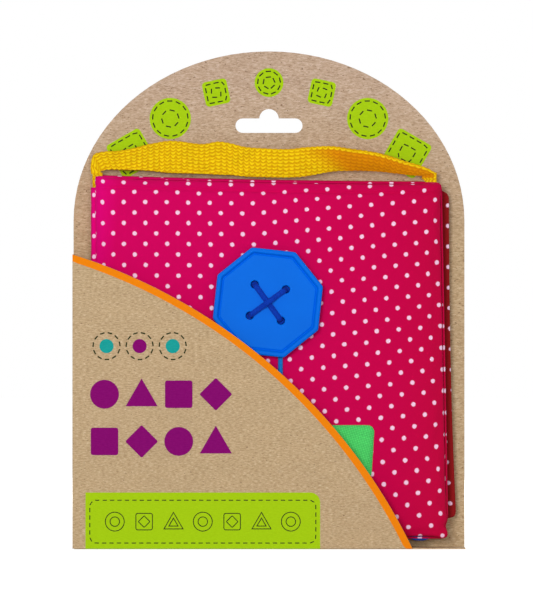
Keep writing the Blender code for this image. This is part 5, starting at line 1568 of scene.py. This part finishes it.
def button_laces():
    """Two flat laces crossed over the button, down through its holes and knotted behind it."""
    middle = Vector((BUTTON.x, 0, BUTTON.z))
    back_y = BUTTON_HIGH.y + SEAT + LACE_THICKNESS / 2
    low_y = FACE_Y - LACE_THICKNESS / 2 + 0.1 * MM

    def half(hole, inward):
        """A lace's way from behind the button's middle up through a hole and back over the face."""
        stops = ((1.2, back_y - 0.1 * MM), (0.5, back_y - 1.6 * MM), (0.9, FACE_Y + 0.6 * MM), (2.2, low_y))
        way = [middle - inward * 6.4 * MM + Vector((0, back_y, 0))]
        way += [hole + inward * reach * MM + Vector((0, y, 0)) for reach, y in stops]
        return way + [hole.lerp(middle, 0.55) + Vector((0, low_y, 0))]

    for name, node, first, second, rise in (
        ("lace_beneath", "button_lace_under", 1, 3, 0.0),
        ("lace_on_top", "button_lace_over", 0, 2, 1.8 * MM),
    ):
        run = (HOLES[second] - HOLES[first]).normalized()
        crown = middle + Vector((0, low_y - rise, 0))
        route = half(HOLES[first], run) + [crown] + half(HOLES[second], -run)[::-1]
        mesh = cord_mesh(name, smooth_path(route, 0.3 * MM), LACE_WIDTH, LACE_THICKNESS, 8, 2.6 * MM, 0.12, 24)
        new_piece(name, mesh, DARK_CORD, "button", (node,))
    for index, hole in enumerate(HOLES):
        outward = (hole - middle).normalized()
        ends = [hole + outward * reach * MM + Vector((0, back_y - 0.5 * MM, 0)) for reach in (1.7, -0.5, -4.0)]
        mesh = cord_mesh("lace_tail", smooth_path(ends, 0.4 * MM), 3.9 * MM, 0.9 * MM, 8, 2.6 * MM, 0.12)
        new_piece("lace_tail_" + str(index + 1), mesh, DARK_CORD, "button")
    low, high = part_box("button_shank")
    turns = []
    last = SHANK_TURNS * SHANK_STEPS - 1
    for step in range(last + 1):
        y = low.y + 0.45 * MM + (high.y - low.y - 0.9 * MM) * step / last
        turns.append(round_button(FULL_TURN * step / SHANK_STEPS, 5.2 * MM, y))
    mesh = cord_mesh("wound_shank", turns, 1.5 * MM, 0.9 * MM, 6, 1.6 * MM, 0.1, 10)
    new_piece("wound_shank", mesh, DARK_CORD, "button", ("button_shank",))


LEG_OFFSET = 6.4 * MM  # of the light blue cord's leg from the button's middle
LOOP_CLEARANCE = 1.2 * MM  # of the loop from the laces' holes


def blue_cord():
    """The light blue cord that comes up from behind the green tab and goes round behind the button."""
    low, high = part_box("cord_loop")
    tab_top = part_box("green_tab")[1].z
    y = (low.y + high.y) / 2
    diameter = high.y - low.y
    radius = HOLE_REACH + LOOP_CLEARANCE + 2 * SEAT + diameter / 2
    start = -math.acos(LEG_OFFSET / radius) + math.radians(12)
    rise = BUTTON.z - radius - diameter - tab_top
    leg_x = BUTTON.x + LEG_OFFSET
    route = [Vector((leg_x, y, tab_top - 1 * MM + rise * step / 5)) for step in range(6)]
    route += [round_button(start + math.radians(285) * step / 24, radius, y) for step in range(25)]
    mesh = cord_mesh("loop_of_cord", smooth_path(route, 0.35 * MM), diameter, diameter, 8, 3.0 * MM, 0.12)
    new_piece("loop_of_cord", mesh, LIGHT_CORD, "cover", ("cord_loop",))


TAB_ROWS = 40
TAB_COLUMNS = 72
TAB_CORNER = 4.2 * MM
TAB_LEAN = 1.6 * MM
TAB_CROWN = 5.5 * MM  # how far in from its edges the tab has its full thickness
WEAVE_TURN = math.radians(14)


def green_pad():
    """The padded green tab, crowned and drawn in at its corners, with its canvas weave."""
    low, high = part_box("green_tab")
    middle = (low + high) / 2
    width = high.x - low.x
    height = high.z - low.z

    def place(across, up, back):
        u = 2 * across - 1
        v = 2 * up - 1
        x = middle.x + width / 2 * u
        z = middle.z + height / 2 * v
        corner = rounded(x - middle.x, z - middle.z, width / 2, height / 2, TAB_CORNER)
        if corner:
            x, z = middle.x + corner[0], middle.z + corner[1]
        x -= TAB_LEAN * (high.z - z) / height * (x - low.x) / width
        edge = min(1 - abs(u), (1 - abs(v)) * height / width)
        rise = 1 - max(1 - edge * width / 2 / TAB_CROWN, 0) ** 2.4
        dent = hills(x, 2.0, z, 9 * MM, 0.18 * MM)
        return x, high.y if back else high.y - (high.y - low.y) * rise + dent * rise, z

    points = []
    for back in (False, True):
        for row in range(TAB_ROWS):
            shares = [(column / (TAB_COLUMNS - 1), row / (TAB_ROWS - 1)) for column in range(TAB_COLUMNS)]
            points += [place(across, up, back) for across, up in shares]
    faces = grid_faces(TAB_ROWS, TAB_COLUMNS)
    faces += [tuple(index + TAB_ROWS * TAB_COLUMNS for index in face) for face in faces]
    mesh = mesh_of("green_pad", points, faces)
    turn_outward(mesh, 0.01 * MM)
    cosine, sine = math.cos(WEAVE_TURN), math.sin(WEAVE_TURN)
    give_map(mesh, lambda point: (point.x * cosine - point.z * sine, point.x * sine + point.z * cosine))
    made = new_piece("green_pad", mesh, GREEN, "cover", ("green_tab",))


# Activities inside

LACE = 1.4 * MM
LACE_BEND = 1.6 * MM  # how far from an eyelet's middle the lace starts to dip


def flat_middle(node):
    low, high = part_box(node)
    return Vector(((low.x + high.x) / 2, 0, (low.z + high.z) / 2))


def lacing():
    """The felt panel, its eyelets and the white lace that runs through them."""
    sewn_plate("felt_panel", "lacing_panel", FELT, "cover", 0.5 * MM, 2.6 * MM, -FRONT)
    eyelets = ["eyelet_" + str(index) for index in range(1, 7)]
    for eyelet in eyelets:
        dress(eyelet, NICKEL, 0.12 * MM)
    low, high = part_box("lace")
    level, other = high.y - LACE / 2, low.y + LACE / 2
    ends = []
    for tip in ("lace_tip_1", "lace_tip_2"):
        top = flat_middle(tip)
        top.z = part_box(tip)[1].z
        ends.append(top)
    stops = [ends[0], *(flat_middle(eyelet) for eyelet in eyelets), ends[1]]
    route = [ends[0] + Vector((0, level, 0))]
    for before, centre, after in zip(stops, stops[1:], stops[2:]):
        come = (before - centre).normalized()
        go = (after - centre).normalized()
        route.append(centre + come * LACE_BEND + Vector((0, level, 0)))
        route.append(centre + come * LACE / 4 + Vector((0, level + (other - level) / 4, 0)))
        route.append(centre + go * LACE / 4 + Vector((0, other + (level - other) / 4, 0)))
        route.append(centre + go * LACE_BEND + Vector((0, other, 0)))
        level, other = other, level
    route.append(ends[1] + Vector((0, level, 0)))
    mesh = cord_mesh("white_lace_cord", smooth_path(route, 0.3 * MM), LACE, LACE, 6, 1.8 * MM, 0.1, 12)
    new_piece("white_lace_cord", mesh, WHITE_YARN, "cover", ("lace",))
    for tip in ("lace_tip_1", "lace_tip_2"):
        dress(tip, WHITE_ABS, 0.3 * MM)


def belt():
    """The belt with its sewn edges, and the nickel buckle."""
    strap_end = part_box("belt_strap")[1].x
    tab_low, tab_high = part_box("buckle_tab")
    for name, node, span in (
        ("belt_band", "belt_strap", (tab_low.x, strap_end)),
        ("buckle_holder", "buckle_tab", (tab_low.x, tab_high.x - 6 * MM)),
    ):
        sewn_plate(name, node, LEATHER, "board", 0.3 * MM, 1.8 * MM, FRONT, span)
    sewn_plate("belt_loop", "belt_keeper", LEATHER, "board", 0.3 * MM)
    dress("buckle_frame", NICKEL, 0.45 * MM, 3)
    dress("buckle_prong", NICKEL, 0.2 * MM)


def clip():
    """The side release clip on its two short straps."""
    dress("clip_socket", LIME_ABS, 0.4 * MM, 3)
    dress("clip_plug", LIME_ABS, 0.35 * MM, 3)
    sewn_plate("socket_webbing", "clip_strap_socket", ORANGE_WEBBING, "cover", 0.3 * MM)
    strap = sewn_plate("plug_webbing", "clip_strap_plug", ORANGE_WEBBING, None, 0.3 * MM)
    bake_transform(strap)
    for side in ("socket", "plug"):
        sewn_plate(side + "_patch", "clip_patch_" + side, GREEN, "cover", 0.5 * MM, 2 * MM, -FRONT)


def dial():
    dress("dial_plate", YELLOW_ABS, 0.3 * MM)
    dress("dial_wheel", RED_ABS, 0.35 * MM, 3)
    dress("dial_pin", WHITE_ABS, 0.3 * MM)


# Light and floor

AMBIENT = 0.38
WHITE = linear("FFFFFF")
LAMP_AIM = Vector((0, 0, 0.12))
# Name, place, power in watts and size in metres
LAMPS = (
    ("key_lamp", (-0.48, -2.2, 0.46), 23.0, 0.7),
    ("fill_lamp", (0.3, -2.3, 0.13), 7.5, 0.22),
    ("rear_lamp", (0.5, 1.6, 0.9), 22.0, 1.2),
)
FLOOR_REACH = 8.0
FLOOR_DROP = 0.02 * MM
FLOOR_GREY = "CBCBCB"
FLOOR_GLOW = 0.8


def seen_rays(surface):
    """1 for the rays that show the background: straight to the eye, mirrored or passed through."""
    light = add(surface, "LightPath").outputs
    mirrored = add(surface, "Math MAXIMUM", {0: light["Is Glossy Ray"], 1: light["Is Transmission Ray"]})
    return add(surface, "Math MAXIMUM", {0: light["Is Camera Ray"], 1: mirrored})


def studio():
    world = bpy.data.worlds.new("studio")
    world.use_nodes = True
    scene.world = world
    world.node_tree.nodes.clear()
    dim = add(world, "Background", {"Color": WHITE, "Strength": AMBIENT})
    white = add(world, "Background", {"Color": WHITE, "Strength": 1.0})
    mixed = add(world, "MixShader", {0: seen_rays(world), 1: dim, 2: white})
    add(world, "OutputWorld", {"Surface": mixed})


def lamp(name, place, power, size):
    """A square soft lamp aimed at the middle of the pack."""
    light = bpy.data.lights.new(name, "AREA")
    light.energy = power
    light.size = size
    made = bpy.data.objects.new(name, light)
    made.location = place
    made.rotation_euler = (LAMP_AIM - Vector(place)).to_track_quat("-Z", "Y").to_euler()
    scene.collection.objects.link(made)


def floor():
    """A pale floor that keeps the object's shadow and is otherwise as white as the background."""
    corners = [(-FLOOR_REACH, -FLOOR_REACH, 0), (FLOOR_REACH, -FLOOR_REACH, 0)]
    corners += [(FLOOR_REACH, FLOOR_REACH, 0), (-FLOOR_REACH, FLOOR_REACH, 0)]
    mesh = mesh_of("floor", corners, [(0, 1, 2, 3)])
    made = bpy.data.objects.new("floor", mesh)
    made.location = (0, 0, -FLOOR_DROP)
    scene.collection.objects.link(made)
    surface = bpy.data.materials.new("pale_floor")
    surface.use_nodes = True
    surface.node_tree.nodes.clear()
    matt = add(surface, "BsdfDiffuse", {"Color": linear(FLOOR_GREY)})
    strength = add(surface, "Math MULTIPLY", {0: seen_rays(surface), 1: FLOOR_GLOW})
    glow = add(surface, "Emission", {"Color": WHITE, "Strength": strength})
    add(surface, "OutputMaterial", {"Surface": add(surface, "AddShader", {0: matt, 1: glow})})
    mesh.materials.append(surface)


for make in (
    card_pack, orange_edging, arch_prints, front_prints, lime_strip, padded_leaves, handle,
    big_button, button_laces, blue_cord, green_pad, lacing, belt, clip, dial, studio,
):
    make()
for settings in LAMPS:
    lamp(*settings)
floor()
scene.view_settings.view_transform = "Standard"

bpy.context.view_layer.update()
